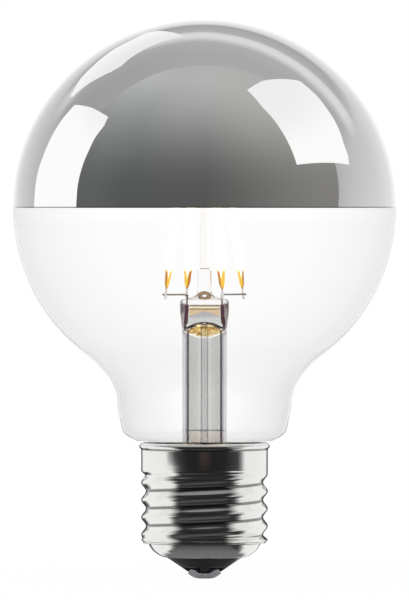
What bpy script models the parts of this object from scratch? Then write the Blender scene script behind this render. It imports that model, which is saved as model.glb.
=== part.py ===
"""Crown-mirrored LED filament lamp: a clear 80 mm glass globe on an E27 screw cap.

Metres, +Z up. The origin is the lowest point of the centre contact, on the lamp's axis. The lamp
stands cap down, with its two lead-in wires left (-X) and right (+X) of the axis.
"""

import math

import bmesh
import bpy
from mathutils import Matrix, Vector

MM = 0.001

# Fits
FIT = 0.3 * MM  # gap between two pieces that touch
WELD = 0.01 * MM

# Globe and neck
GLOBE_DIAMETER = 80.0 * MM
GLOBE_HALF_HEIGHT = 39.1 * MM
EQUATOR_RISE = 49.15 * MM  # from the cap's rim to the widest circle
GLASS_WALL = 0.8 * MM
THROAT_ANGLE = math.radians(52.0)  # below the equator, where the globe turns into the neck
THROAT_UPPER_PULL = 4.0 * MM
THROAT_LOWER_PULL = 3.6 * MM
NECK_DIAMETER = 36.4 * MM
NECK_RISE = 8.65 * MM  # from the rim to the neck's cylindrical part
NECK_FOOT_DIAMETER = 34.2 * MM
NECK_FOOT_RISE = 2.6 * MM
NECK_FOOT_SLOPE = 0.25  # the neck's inward run for each unit that it drops there
NECK_FOOT_PULL = 1.4 * MM
SEAT_WIDTH = 0.9 * MM  # how far the glass reaches out over the rim's inner edge
TAIL_LENGTH = 5.0 * MM  # the glass that is cemented inside the cap

# Mirror on the crown
MIRROR_EDGE_RISE = -0.1 * MM  # from the equator
MIRROR_THICKNESS = 0.2 * MM

# Cap shell
THREAD_DIAMETER = 26.45 * MM
THREAD_ROOT_DIAMETER = 24.5 * MM
THREAD_PITCH = 25.4 * MM / 7
THREAD_LENGTH = 15.2 * MM
THREAD_RUN_OUT = 1.3 * MM
THREAD_CREST_RISE = 7.2 * MM  # from the lip to a crest on the +X side
SHELL_WALL = 0.3 * MM
SKIRT_LENGTH = 4.45 * MM
RIM_DIAMETER = 27.3 * MM
RIM_BEAD_RADIUS = 0.65 * MM
LIP_DIAMETER = 25.7 * MM
LIP_THICKNESS = 0.35 * MM
SHOULDER_DIAMETER = 23.5 * MM
SHOULDER_HEIGHT = 3.0 * MM
SHOULDER_SIDE_SLOPE = 0.4  # the shoulder's inward run for each unit of its first drop
SHOULDER_BASE_PULL = 0.375 * MM
MOUTH_DIAMETER = 16.1 * MM
CEMENT_LENGTH = 3.6 * MM

# Insulator and contact
CONTACT_DIAMETER = 7.4 * MM
CONTACT_HEIGHT = 1.94 * MM
CONTACT_WALL = 0.4 * MM
CONTACT_FLOOR = 1.1 * MM
CONTACT_KNEE_DIAMETER = 6.7 * MM  # where the rim's slope turns into the dish
CONTACT_KNEE_HEIGHT = 0.9 * MM
CONTACT_RIM_HEIGHT = 0.15 * MM  # of the upright band round the top of its slope
CONTACT_FLAT_DIAMETER = 2.4 * MM
CONTACT_DISH_PULL = 0.6 * MM
CONTACT_DISH_DROP = 0.35 * MM
CONTACT_NOTCH_WIDTH = 3.0 * MM
CONTACT_NOTCHES = 4
CONE_HEIGHT = 2.3 * MM  # the insulator's cone between the contact and the shell's mouth
CONE_TIP_DIAMETER = 9.0 * MM
INSULATOR_BORE = 2.4 * MM
INSULATOR_FLANGE_HEIGHT = 1.4 * MM

# Glass stem
STEM_DIAMETER = 9.3 * MM
STEM_WALL = 0.6 * MM
STEM_CAVITY_RISE = 25.05 * MM  # from the rim to the top of the hollow
STEM_CAVITY_DOME = 2.4 * MM
PRESS_RISE = 3.8 * MM  # solid glass above the hollow, up to the edge of the dome
PRESS_DOME = 2.2 * MM
PRESS_FLAT_DIAMETER = 3.0 * MM  # the dome's level middle, under the rod
PRESS_SLOPE_RUN = 0.8 * MM
PRESS_SLOPE_DROP = 0.89 * MM
PRESS_SHOULDER_PULL = 1.0 * MM
PRESS_WIDTH = 10.2 * MM
PRESS_THICKNESS = 5.0 * MM
PINCH_LENGTH = 6.0 * MM
FLARE_HEIGHT = 4.6 * MM
FLARE_PULL = 2.76 * MM
EXHAUST_DIAMETER = 3.4 * MM
EXHAUST_BORE = 1.7 * MM
EXHAUST_TAIL = 2.6 * MM  # how far its sealed tip hangs below the flare
EXHAUST_SETBACK = 0.8 * MM  # of its open end below the top of the hollow

# Rod that carries the filaments' upper ends
ROD_FOOT_DIAMETER = 3.4 * MM
ROD_FOOT_HEIGHT = 0.8 * MM
ROD_STUB_DIAMETER = 3.0 * MM
ROD_STUB_HEIGHT = 4.6 * MM
ROD_DIAMETER = 1.7 * MM
BUTTON_DIAMETER = 3.8 * MM
BUTTON_HEIGHT = 4.8 * MM
BUTTON_RISE = 0.9 * MM  # of its lower wire above the filaments' upper tips
ROD_NECK = 0.9 * MM  # length of the slopes from the rod to its stub and button

# Wires
LEAD_SPACING = 7.0 * MM
OUTER_LEAD_DIAMETER = 0.5 * MM
SEAL_DIAMETER = 0.75 * MM
SEAL_LENGTH = 3.8 * MM
SEAL_BORE_OVERRUN = 1.2 * MM  # of its bore beyond the solid glass, at both ends
INNER_LEAD_DIAMETER = 0.5 * MM
BRANCH_DIAMETER = 0.45 * MM
BRANCH_DROP = 0.1 * MM  # of the leads' level ends below the top of the press
BRANCH_STEP = 0.2 * MM  # of the cross branches below the leads' level ends
BRANCH_BEND = 1.1 * MM
BRANCH_OVERHANG = 0.6 * MM
LINK_DIAMETER = 0.4 * MM
LINK_SPACING = 1.7 * MM

# Filaments
FILAMENT_COUNT = 4
FILAMENT_TURN = math.radians(24.8)  # of the first filament, from +X
FILAMENT_LENGTH = 38.0 * MM
FILAMENT_WIDTH = 2.05 * MM
FILAMENT_THICKNESS = 1.5 * MM
FILAMENT_TAPER = 5.0 * MM
FILAMENT_TIP_WIDTH = 0.3 * MM
FILAMENT_TIP_PULL_WIDTH = 2.2 * MM
FILAMENT_TIP_PULL = 1.3 * MM
FILAMENT_SIDE_PULL = 2.4 * MM
FILAMENT_SIDE_PULL_WIDTH = 0.9 * MM
FILAMENT_RISE = 0.8 * MM  # of its lower tip above the press
FILAMENT_FOOT_RADIUS = 8.8 * MM
FILAMENT_HEAD_RADIUS = 3.7 * MM
TAB_WIDTH = 0.5 * MM
TAB_THICKNESS = 0.3 * MM
LOWER_TAB_LENGTH = 1.9 * MM
UPPER_TAB_LENGTH = 3.9 * MM

# Driver in the cap
BOARD_WIDTH = 17.0 * MM
BOARD_HEIGHT = 10.6 * MM
BOARD_THICKNESS = 1.0 * MM
BOARD_SETBACK = 2.2 * MM  # of its front face behind the axis
CAPACITOR_DIAMETER = 6.3 * MM
CAPACITOR_LENGTH = 9.0 * MM
CAPACITOR_CRIMP_DIAMETER = 5.5 * MM
CAPACITOR_CRIMP_HEIGHT = 1.5 * MM
CHOKE_DIAMETER = 5.6 * MM
CHOKE_LENGTH = 6.0 * MM
CHOKE_CORE_DIAMETER = 2.6 * MM
CHOKE_FLANGE = 0.9 * MM
CHIP_SIZE = Vector((4.9, 1.5, 3.9)) * MM
RECTIFIER_SIZE = Vector((4.7, 1.6, 3.9)) * MM
PART_SPACING = 4.4 * MM  # of the driver's parts from the board's centre line
RESISTOR_DIAMETER = 2.3 * MM
RESISTOR_LENGTH = 6.0 * MM
RESISTOR_WAIST_DIAMETER = 1.95 * MM
RESISTOR_END_DIAMETER = 1.6 * MM
RESISTOR_CAP_LENGTH = 1.2 * MM
RESISTOR_CAP_ROUNDING = 0.4 * MM
CONTACT_PAD_RISE = 1.2 * MM  # of the contact wire's pad above the insulator
WIRE_BEND = 0.73 * MM
SHELL_WIRE_RISE = 1.81 * MM  # from its pad to where it bends up along the shell
SHELL_WIRE_LENGTH = 3.63 * MM  # upwards from that bend

# Facets
GLOBE_SIDES = 32
CAP_SIDES = 30
STEM_SIDES = 20
SMALL_SIDES = 12
THREAD_ROWS = 6  # rows of faces in each turn of the thread
CROWN_ROWS = 8  # rows of faces from the pole to the widest circle
LOWER_ROWS = 5  # from there to the throat
CURVE_ROWS = 4
WIRE_RESOLUTION = 2
SHARP_ANGLE = math.radians(32.0)

# Heights that follow from the sizes above
CONE_BASE = CONTACT_HEIGHT + CONE_HEIGHT
MOUTH_HEIGHT = CONE_BASE + FIT / 2
LIP_HEIGHT = MOUTH_HEIGHT + SHOULDER_HEIGHT
THREAD_TOP = LIP_HEIGHT + THREAD_LENGTH
SKIRT_TOP = THREAD_TOP + SKIRT_LENGTH
RIM_TOP = SKIRT_TOP + 2 * RIM_BEAD_RADIUS
SEAT_HEIGHT = RIM_TOP + FIT
EQUATOR_HEIGHT = RIM_TOP + EQUATOR_RISE
STEM_CAVITY_TOP = RIM_TOP + STEM_CAVITY_RISE
PINCH_BOTTOM = STEM_CAVITY_TOP - STEM_CAVITY_DOME - FIT
PRESS_EDGE = STEM_CAVITY_TOP + PRESS_RISE
PRESS_TOP = PRESS_EDGE + PRESS_DOME
BRANCH_HEIGHT = PRESS_TOP - BRANCH_DROP
FILAMENT_BOTTOM = PRESS_TOP + FILAMENT_RISE

# Radii that follow
GLOBE_RADIUS = GLOBE_DIAMETER / 2
NECK_RADIUS = NECK_DIAMETER / 2
CREST_RADIUS = THREAD_DIAMETER / 2
ROOT_RADIUS = THREAD_ROOT_DIAMETER / 2
SKIRT_BORE_RADIUS = CREST_RADIUS - SHELL_WALL
RIM_EDGE_RADIUS = RIM_DIAMETER / 2 - RIM_BEAD_RADIUS
TAIL_RADIUS = min(SKIRT_BORE_RADIUS, ROOT_RADIUS) - 2 * FIT
TAIL_BORE_RADIUS = TAIL_RADIUS - GLASS_WALL
FLARE_RADIUS = TAIL_BORE_RADIUS - FIT
MOUTH_RADIUS = MOUTH_DIAMETER / 2
STEM_RADIUS = STEM_DIAMETER / 2
STEM_BORE_RADIUS = STEM_RADIUS - STEM_WALL
FILAMENT_LEAN = math.asin((FILAMENT_FOOT_RADIUS - FILAMENT_HEAD_RADIUS) / FILAMENT_LENGTH)


def clear_scene():
    for obj in list(bpy.data.objects):
        bpy.data.objects.remove(obj)


def new_collection(name):
    collection = bpy.data.collections.new(name)
    bpy.context.scene.collection.children.link(collection)
    return collection


def finish(name, colour, roughness, metallic=0.0, **inputs):
    """A Principled material. An input's name is written with underscores."""
    material = bpy.data.materials.new(name)
    material.use_nodes = True
    shader = material.node_tree.nodes["Principled BSDF"]
    shader.inputs["Base Color"].default_value = (*colour, 1.0)
    shader.inputs["Roughness"].default_value = roughness
    shader.inputs["Metallic"].default_value = metallic
    for key, value in inputs.items():
        shader.inputs[key.replace("_", " ")].default_value = value
    material.diffuse_color = (*colour, 1.0)
    return material


# Outlines, as (radius, height) points

def bezier(start, start_pull, end_pull, end, rows):
    """Points of a cubic curve after its start, up to and with its end."""
    points = []
    for row in range(1, rows + 1):
        t = row / rows
        s = 1 - t
        weights = (s**3, 3 * s * s * t, 3 * s * t * t, t**3)
        corners = (start, start_pull, end_pull, end)
        points.append(tuple(sum(w * p[k] for w, p in zip(weights, corners)) for k in (0, 1)))
    return points


def arc(centre, radius, start, end, rows, height=None):
    """Points of an arc with both its ends. Angles are in degrees above the radius direction."""
    height = radius if height is None else height
    angles = [math.radians(start + (end - start) * row / rows) for row in range(rows + 1)]
    return [(centre[0] + radius * math.cos(a), centre[1] + height * math.sin(a)) for a in angles]


# Solids

def add(name, data, material, collection, location=(0.0, 0.0, 0.0)):
    obj = bpy.data.objects.new(name, data)
    obj.location = location
    if data.materials:
        data.materials[0] = material
    elif material:
        data.materials.append(material)
    collection.objects.link(obj)
    return obj


def freeze(obj):
    """Makes the object's modifiers part of its mesh, and shades it smooth up to its sharp edges."""
    graph = bpy.context.evaluated_depsgraph_get()
    mesh = bpy.data.meshes.new_from_object(obj.evaluated_get(graph))
    obj.modifiers.clear()
    obj.data = mesh
    mesh.shade_smooth()
    mesh.set_sharp_from_angle(angle=SHARP_ANGLE)
    return obj


def turned(name, outline, material, collection, sides, closed=False, location=(0, 0, 0)):
    """A solid or surface of revolution. Its outline runs down the outer side."""
    mesh = bpy.data.meshes.new(name)
    ends = len(outline) if closed else len(outline) - 1
    edges = [(i, (i + 1) % len(outline)) for i in range(ends)]
    mesh.from_pydata([(radius, 0.0, height) for radius, height in outline], edges, [])
    obj = add(name, mesh, material, collection, location)
    screw = obj.modifiers.new("Turn", "SCREW")
    screw.steps = screw.render_steps = sides
    screw.use_merge_vertices = True
    screw.merge_threshold = WELD
    return freeze(obj)


def thicken(obj, wall):
    """Gives an open surface a wall on its inner side."""
    solidify = obj.modifiers.new("Wall", "SOLIDIFY")
    solidify.thickness = wall
    solidify.offset = -1
    solidify.use_even_offset = True
    return freeze(obj)


def block(name, size, material, collection, location, bevel=0.0):
    mesh = bpy.data.meshes.new(name)
    cube = bmesh.new()
    bmesh.ops.create_cube(cube, size=1, matrix=Matrix.Diagonal((*size, 1.0)))
    cube.to_mesh(mesh)
    cube.free()
    obj = add(name, mesh, material, collection, location)
    if bevel:
        rounding = obj.modifiers.new("Rounding", "BEVEL")
        rounding.width = bevel
        rounding.segments = 2
        freeze(obj)
    return obj


def cylinder(name, diameter, length, material, collection, location, sides=SMALL_SIDES):
    mesh = bpy.data.meshes.new(name)
    body = bmesh.new()
    radius = diameter / 2
    bmesh.ops.create_cone(
        body, cap_ends=True, segments=sides, radius1=radius, radius2=radius, depth=length
    )
    body.to_mesh(mesh)
    body.free()
    mesh.shade_smooth()
    mesh.set_sharp_from_angle(angle=SHARP_ANGLE)
    return add(name, mesh, material, collection, location)


def wire(name, points, diameter, material, collection):
    """A round wire along straight runs, whose bends the points give."""
    curve = bpy.data.curves.new(name, "CURVE")
    curve.dimensions = "3D"
    curve.bevel_depth = diameter / 2
    curve.bevel_resolution = WIRE_RESOLUTION
    curve.use_fill_caps = True
    spline = curve.splines.new("POLY")
    spline.points.add(len(points) - 1)
    for point, place in zip(spline.points, points):
        point.co = (*place, 1.0)
    return add(name, curve, material, collection)


def bent(corner_before, corner, corner_after, bend, rows=CURVE_ROWS):
    """Points round a wire's corner, starting and ending at the bend's length from it."""
    corner = Vector(corner)
    start = corner + (Vector(corner_before) - corner).normalized() * bend
    end = corner + (Vector(corner_after) - corner).normalized() * bend
    turns = [row / rows for row in range(rows + 1)]
    return [(1 - t) ** 2 * start + 2 * t * (1 - t) * corner + t * t * end for t in turns]


def cut(obj, cutters):
    for cutter in cutters:
        cutter.hide_render = True
        cutter.display_type = "WIRE"
        hole = obj.modifiers.new(cutter.name, "BOOLEAN")
        hole.operation = "DIFFERENCE"
        hole.object = cutter
    return obj


# Globe

def globe_point(angle, inset=0.0):
    """A point of the globe's outline, at an angle above the equator, moved in by the inset."""
    slope = Vector((math.cos(angle) / GLOBE_RADIUS, math.sin(angle) / GLOBE_HALF_HEIGHT))
    normal = slope.normalized()
    radius = GLOBE_RADIUS * math.cos(angle) - inset * normal.x
    height = GLOBE_HALF_HEIGHT * math.sin(angle) - inset * normal.y
    return max(radius, 0.0), EQUATOR_HEIGHT + height


def glass_outline():
    """The glass from its pole, over the globe, throat and neck, down into the cap."""
    outline = [globe_point(math.pi / 2 * (1 - row / CROWN_ROWS)) for row in range(CROWN_ROWS + 1)]
    outline += [globe_point(-THROAT_ANGLE * row / LOWER_ROWS) for row in range(1, LOWER_ROWS + 1)]
    outline[0] = (0.0, outline[0][1])

    throat = outline[-1]
    down = Vector((-GLOBE_RADIUS * math.sin(THROAT_ANGLE), -GLOBE_HALF_HEIGHT * math.cos(THROAT_ANGLE)))
    pull = down.normalized() * THROAT_UPPER_PULL
    waist = (NECK_RADIUS, RIM_TOP + NECK_RISE)
    above_waist = (NECK_RADIUS, waist[1] + THROAT_LOWER_PULL)
    outline += bezier(throat, (throat[0] + pull.x, throat[1] + pull.y), above_waist, waist, CURVE_ROWS + 1)

    foot = (NECK_FOOT_DIAMETER / 2, RIM_TOP + NECK_FOOT_RISE)
    third = (waist[1] - foot[1]) / 3
    above_foot = (foot[0] + NECK_FOOT_SLOPE * third, foot[1] + third)
    outline += bezier(waist, (NECK_RADIUS, waist[1] - third), above_foot, foot, CURVE_ROWS - 1)

    seat = (RIM_EDGE_RADIUS + SEAT_WIDTH, SEAT_HEIGHT)
    below_foot = (foot[0] - NECK_FOOT_SLOPE * NECK_FOOT_PULL, foot[1] - NECK_FOOT_PULL)
    beside_seat = ((seat[0] + foot[0]) / 2, SEAT_HEIGHT)
    outline += bezier(foot, below_foot, beside_seat, seat, CURVE_ROWS)

    turn = 2 * RIM_BEAD_RADIUS
    tail_top = (TAIL_RADIUS, RIM_TOP - turn)
    corner = (TAIL_RADIUS, SEAT_HEIGHT)
    outline += bezier(seat, (RIM_EDGE_RADIUS - FIT, SEAT_HEIGHT), corner, tail_top, CURVE_ROWS)
    outline.append((TAIL_RADIUS, RIM_TOP - TAIL_LENGTH))
    return outline


def make_glass_envelope(parts):
    surface = turned("glass_envelope", glass_outline(), CLEAR_GLASS, parts, GLOBE_SIDES)
    thicken(surface, GLASS_WALL)


def make_mirror(parts):
    """The metal film inside the crown, from its straight edge up to the pole."""
    inset = GLASS_WALL + FIT
    edge = math.asin(MIRROR_EDGE_RISE / (GLOBE_HALF_HEIGHT - inset))
    span = math.pi / 2 - edge
    rows = range(CROWN_ROWS + 1)
    outline = [globe_point(math.pi / 2 - span * row / CROWN_ROWS, inset) for row in rows]
    outline[0] = (0.0, outline[0][1])
    surface = turned("mirror_crown", outline, SILVER_MIRROR, parts, GLOBE_SIDES)
    thicken(surface, MIRROR_THICKNESS)


# Cap

def thread_depth(angle, height):
    """How far the rolled thread draws the shell in at a place on it."""
    crest = LIP_HEIGHT + THREAD_CREST_RISE + THREAD_PITCH * angle / math.tau
    wave = (1 - math.cos(math.tau * (height - crest) / THREAD_PITCH)) / 2
    to_end = min(height - LIP_HEIGHT - LIP_THICKNESS, THREAD_TOP - height)
    fade = min(max(to_end / THREAD_RUN_OUT, 0.0), 1.0)
    return (CREST_RADIUS - ROOT_RADIUS) * wave * fade * fade * (3 - 2 * fade)


def shell_outline():
    """The cap's shell as it is drawn, before the thread is rolled: outer side down, inner side up."""
    bead_centre = (RIM_EDGE_RADIUS, RIM_TOP - RIM_BEAD_RADIUS)
    outer = arc(bead_centre, RIM_BEAD_RADIUS, 90, -45, CURVE_ROWS + 1)
    outer.append((CREST_RADIUS, SKIRT_TOP))
    rows = round(THREAD_LENGTH / THREAD_PITCH * THREAD_ROWS)
    bottom = LIP_HEIGHT + LIP_THICKNESS
    heights = [THREAD_TOP - (THREAD_TOP - bottom) * row / rows for row in range(rows + 1)]
    outer += [(CREST_RADIUS, height) for height in heights[:-1]]
    outer.append((LIP_DIAMETER / 2, bottom))
    outer.append((LIP_DIAMETER / 2, LIP_HEIGHT + LIP_THICKNESS / 3))
    shoulder = SHOULDER_DIAMETER / 2
    outer.append((shoulder, LIP_HEIGHT))
    drop = SHOULDER_HEIGHT / 2
    side_pull = (shoulder - drop * SHOULDER_SIDE_SLOPE, LIP_HEIGHT - drop)
    base_pull = ((shoulder + MOUTH_RADIUS) / 2, MOUTH_HEIGHT + SHOULDER_BASE_PULL)
    mouth = (MOUTH_RADIUS, MOUTH_HEIGHT)
    outer += bezier((shoulder, LIP_HEIGHT), side_pull, base_pull, mouth, CURVE_ROWS + 1)

    inner = [(MOUTH_RADIUS, MOUTH_HEIGHT + SHELL_WALL)]
    inner += bezier(
        inner[0],
        (base_pull[0] - SHELL_WALL / 2, base_pull[1] + SHELL_WALL),
        (side_pull[0] - SHELL_WALL, side_pull[1] + SHELL_WALL / 2),
        (shoulder - SHELL_WALL, LIP_HEIGHT),
        CURVE_ROWS,
    )
    inner.append((ROOT_RADIUS - SHELL_WALL, bottom + THREAD_RUN_OUT / 2))
    inner += [(SKIRT_BORE_RADIUS, height) for height in reversed(heights[:-1])]
    inner.append((SKIRT_BORE_RADIUS, SKIRT_TOP))
    bore_angles = arc(bead_centre, RIM_BEAD_RADIUS - SHELL_WALL, -30, 90, CURVE_ROWS - 1)
    return outer + inner + bore_angles


def make_screw_shell(parts):
    shell = turned("screw_shell", shell_outline(), NICKEL, parts, CAP_SIDES, closed=True)
    low = LIP_HEIGHT + LIP_THICKNESS
    for vertex in shell.data.vertices:
        x, y, z = vertex.co
        if low < z < THREAD_TOP:
            radius = math.hypot(x, y)
            depth = thread_depth(math.atan2(y, x), z)
            vertex.co = (x * (radius - depth) / radius, y * (radius - depth) / radius, z)


def make_cement(parts):
    outer = SKIRT_BORE_RADIUS - FIT
    inner = TAIL_RADIUS + FIT
    top = SKIRT_TOP
    bottom = top - CEMENT_LENGTH
    outline = [(outer, top), (outer, bottom), (inner, bottom), (inner, top)]
    turned("cap_cement", outline, CEMENT, parts, CAP_SIDES, closed=True)


def make_insulator(parts):
    """Black insulator: a flange inside the shell, a collar through its mouth and a cone below."""
    collar = MOUTH_RADIUS - FIT
    flange_bottom = MOUTH_HEIGHT + SHELL_WALL + SHOULDER_BASE_PULL + FIT
    flange_top = LIP_HEIGHT
    flange = collar + (SHOULDER_DIAMETER / 2 - MOUTH_RADIUS) / 2
    nose_root = CONTACT_DIAMETER / 2 - CONTACT_WALL - FIT
    nose_tip = CONTACT_KNEE_DIAMETER / 2 - CONTACT_WALL - FIT
    outline = [
        (INSULATOR_BORE / 2, flange_top),
        (flange, flange_top),
        (flange, flange_top - INSULATOR_FLANGE_HEIGHT),
        (collar, flange_bottom),
        (collar, CONE_BASE),
        (CONE_TIP_DIAMETER / 2, CONTACT_HEIGHT + FIT),
        (nose_root, CONTACT_HEIGHT + FIT),
        (nose_tip, CONTACT_FLOOR + FIT),
        (INSULATOR_BORE / 2, CONTACT_FLOOR + FIT),
    ]
    turned("cap_insulator", outline, BLACK_GLASS, parts, CAP_SIDES, closed=True)


def make_contact(parts, cutters):
    """The centre contact: a dished cup with a notched rim, pressed on the insulator's nose."""
    radius = CONTACT_DIAMETER / 2
    flat = CONTACT_FLAT_DIAMETER / 2
    knee = (CONTACT_KNEE_DIAMETER / 2, CONTACT_KNEE_HEIGHT)
    knee_pull = (knee[0] - CONTACT_DISH_PULL, knee[1] - CONTACT_DISH_DROP)
    flat_pull = ((flat + knee[0]) / 2, 0.0)
    outline = [(0.0, CONTACT_FLOOR), (knee[0] - CONTACT_WALL, CONTACT_FLOOR)]
    outline += [(radius - CONTACT_WALL, CONTACT_HEIGHT), (radius, CONTACT_HEIGHT)]
    outline += [(radius, CONTACT_HEIGHT - CONTACT_RIM_HEIGHT), knee]
    outline += bezier(knee, knee_pull, flat_pull, (flat, 0.0), CURVE_ROWS)
    outline.append((0.0, 0.0))
    contact = turned("centre_contact", outline, CONTACT_METAL, parts, STEM_SIDES)
    notches = []
    rim = CONTACT_HEIGHT - CONTACT_FLOOR
    for index in range(CONTACT_NOTCHES // 2):
        place = (0.0, 0.0, CONTACT_HEIGHT)
        size = (CONTACT_DIAMETER + 2 * FIT, CONTACT_NOTCH_WIDTH, 2 * rim - FIT)
        notch = block(f"contact_notch_{index + 1}", size, None, cutters, place)
        notch.rotation_euler.z = math.tau * index / CONTACT_NOTCHES
        notches.append(notch)
    cut(contact, notches)


# Stem

def pinch(height):
    """How much of the press's flat form the stem has at a height, from 0 to 1."""
    share = min(max((height - PINCH_BOTTOM) / PINCH_LENGTH, 0.0), 1.0)
    return share * share * (3 - 2 * share)


def stem_outline():
    """The stem before its top is pinched: dome, tube and flare outside, then the hollow inside."""
    flare_top = RIM_TOP + FIT
    lip = (FLARE_RADIUS, flare_top - FLARE_HEIGHT)
    level = (PRESS_FLAT_DIAMETER / 2, PRESS_TOP)
    slope = (level[0] + PRESS_SLOPE_RUN, PRESS_TOP - PRESS_SLOPE_DROP)
    above_edge = (STEM_RADIUS, PRESS_EDGE + PRESS_SHOULDER_PULL)
    outline = [(0.0, PRESS_TOP), level]
    outline += bezier(level, slope, above_edge, (STEM_RADIUS, PRESS_EDGE), CURVE_ROWS)
    pinch_rows = CURVE_ROWS + 2
    step = (PRESS_EDGE - PINCH_BOTTOM) / pinch_rows
    outline += [(STEM_RADIUS, PRESS_EDGE - step * row) for row in range(1, pinch_rows + 1)]
    outline.append((STEM_RADIUS, flare_top))
    reach = (FLARE_RADIUS - STEM_RADIUS) / 2
    waist = (STEM_RADIUS, flare_top)
    below_waist = (STEM_RADIUS, flare_top - FLARE_PULL)
    outline += bezier(waist, below_waist, (lip[0] - reach, lip[1]), lip, CURVE_ROWS)
    inner_lip = (FLARE_RADIUS, lip[1] - STEM_WALL)
    inner_waist = (STEM_BORE_RADIUS, flare_top - STEM_WALL)
    outline.append(inner_lip)
    outline += bezier(
        inner_lip,
        (inner_lip[0] - reach, inner_lip[1]),
        (STEM_BORE_RADIUS, inner_waist[1] - FLARE_PULL),
        inner_waist,
        CURVE_ROWS,
    )
    dome_centre = (0.0, STEM_CAVITY_TOP - STEM_CAVITY_DOME)
    hollow = arc(dome_centre, STEM_BORE_RADIUS, 0, 90, CURVE_ROWS, STEM_CAVITY_DOME)
    hollow[-1] = (0.0, STEM_CAVITY_TOP)
    return outline + hollow


def make_stem(parts, cutters):
    """The glass stem: a flared tube whose upper end is pressed flat round the lead-in wires."""
    stem = turned("stem_press", stem_outline(), CLEAR_GLASS, parts, STEM_SIDES)
    for vertex in stem.data.vertices:
        share = pinch(vertex.co.z)
        vertex.co.x *= 1 + share * (PRESS_WIDTH / STEM_DIAMETER - 1)
        vertex.co.y *= 1 + share * (PRESS_THICKNESS / STEM_DIAMETER - 1)
    bores = []
    bore_bottom = STEM_CAVITY_TOP - STEM_CAVITY_DOME - SEAL_BORE_OVERRUN
    bore_top = PRESS_TOP + SEAL_BORE_OVERRUN
    length = bore_top - bore_bottom
    bore = SEAL_DIAMETER + 2 * FIT
    for side, name in SIDES:
        place = (side * LEAD_SPACING / 2, 0.0, (bore_top + bore_bottom) / 2)
        bores.append(cylinder(f"seal_bore_{name}", bore, length, None, cutters, place))
    cut(stem, bores)


def make_exhaust_tube(parts):
    """The tube through which the globe was filled with gas, sealed at its lower tip."""
    radius = EXHAUST_DIAMETER / 2
    bore = EXHAUST_BORE / 2
    top = STEM_CAVITY_TOP - EXHAUST_SETBACK
    tip = RIM_TOP - FLARE_HEIGHT - EXHAUST_TAIL
    shoulder = (0.0, tip + EXHAUST_DIAMETER)
    outline = arc(shoulder, bore, -90, 0, CURVE_ROWS - 1, EXHAUST_BORE)
    outline[0] = (0.0, shoulder[1] - EXHAUST_BORE)
    outline += [(bore, top), (radius, top)]
    outline += arc(shoulder, radius, 0, -90, CURVE_ROWS, EXHAUST_DIAMETER)
    outline[-1] = (0.0, tip)
    turned("exhaust_tube", outline, CLEAR_GLASS, parts, SMALL_SIDES)


def link_heights():
    """Heights of the two wires that cross in the button."""
    filament_top = FILAMENT_BOTTOM + FILAMENT_LENGTH * math.cos(FILAMENT_LEAN)
    low = filament_top + BUTTON_RISE + LINK_SPACING / 2
    return low, low + LINK_SPACING


def make_support_rod(parts, cutters):
    """The glass rod that stands on the press, with a button at its top for the link wires."""
    foot_bottom = PRESS_TOP + FIT
    stub_top = PRESS_TOP + ROD_STUB_HEIGHT
    low, high = link_heights()
    button_centre = (low + high) / 2
    stub = ROD_STUB_DIAMETER / 2
    rod = ROD_DIAMETER / 2
    outline = arc((0.0, button_centre), BUTTON_DIAMETER / 2, 90, -60, CURVE_ROWS + 2, BUTTON_HEIGHT / 2)
    outline[0] = (0.0, button_centre + BUTTON_HEIGHT / 2)
    neck = button_centre - BUTTON_HEIGHT / 2 - ROD_NECK
    outline += [(rod, neck), (rod, stub_top + ROD_NECK), (stub, stub_top)]
    outline.append((stub, foot_bottom + ROD_FOOT_HEIGHT))
    foot_centre = (ROD_FOOT_DIAMETER / 2 - ROD_FOOT_HEIGHT / 2, foot_bottom + ROD_FOOT_HEIGHT / 2)
    outline += arc(foot_centre, ROD_FOOT_HEIGHT / 2, 60, -90, CURVE_ROWS)
    outline.append((0.0, foot_bottom))
    obj = turned("support_rod", outline, CLEAR_GLASS, parts, SMALL_SIDES)
    bores = []
    for index, height in enumerate((low, high)):
        bore = cylinder(
            f"link_bore_{index + 1}",
            LINK_DIAMETER + 2 * FIT,
            BUTTON_DIAMETER + 2 * FIT,
            None,
            cutters,
            (0.0, 0.0, height),
        )
        bore.rotation_euler = (0.0, math.pi / 2, FILAMENT_TURN + index * math.pi / 2)
        bores.append(bore)
    cut(obj, bores)


# Wires and filaments

def filament_angle(index):
    return FILAMENT_TURN + math.tau * index / FILAMENT_COUNT


def filament_foot(index):
    angle = filament_angle(index)
    return Vector((math.cos(angle), math.sin(angle))) * FILAMENT_FOOT_RADIUS


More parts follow.
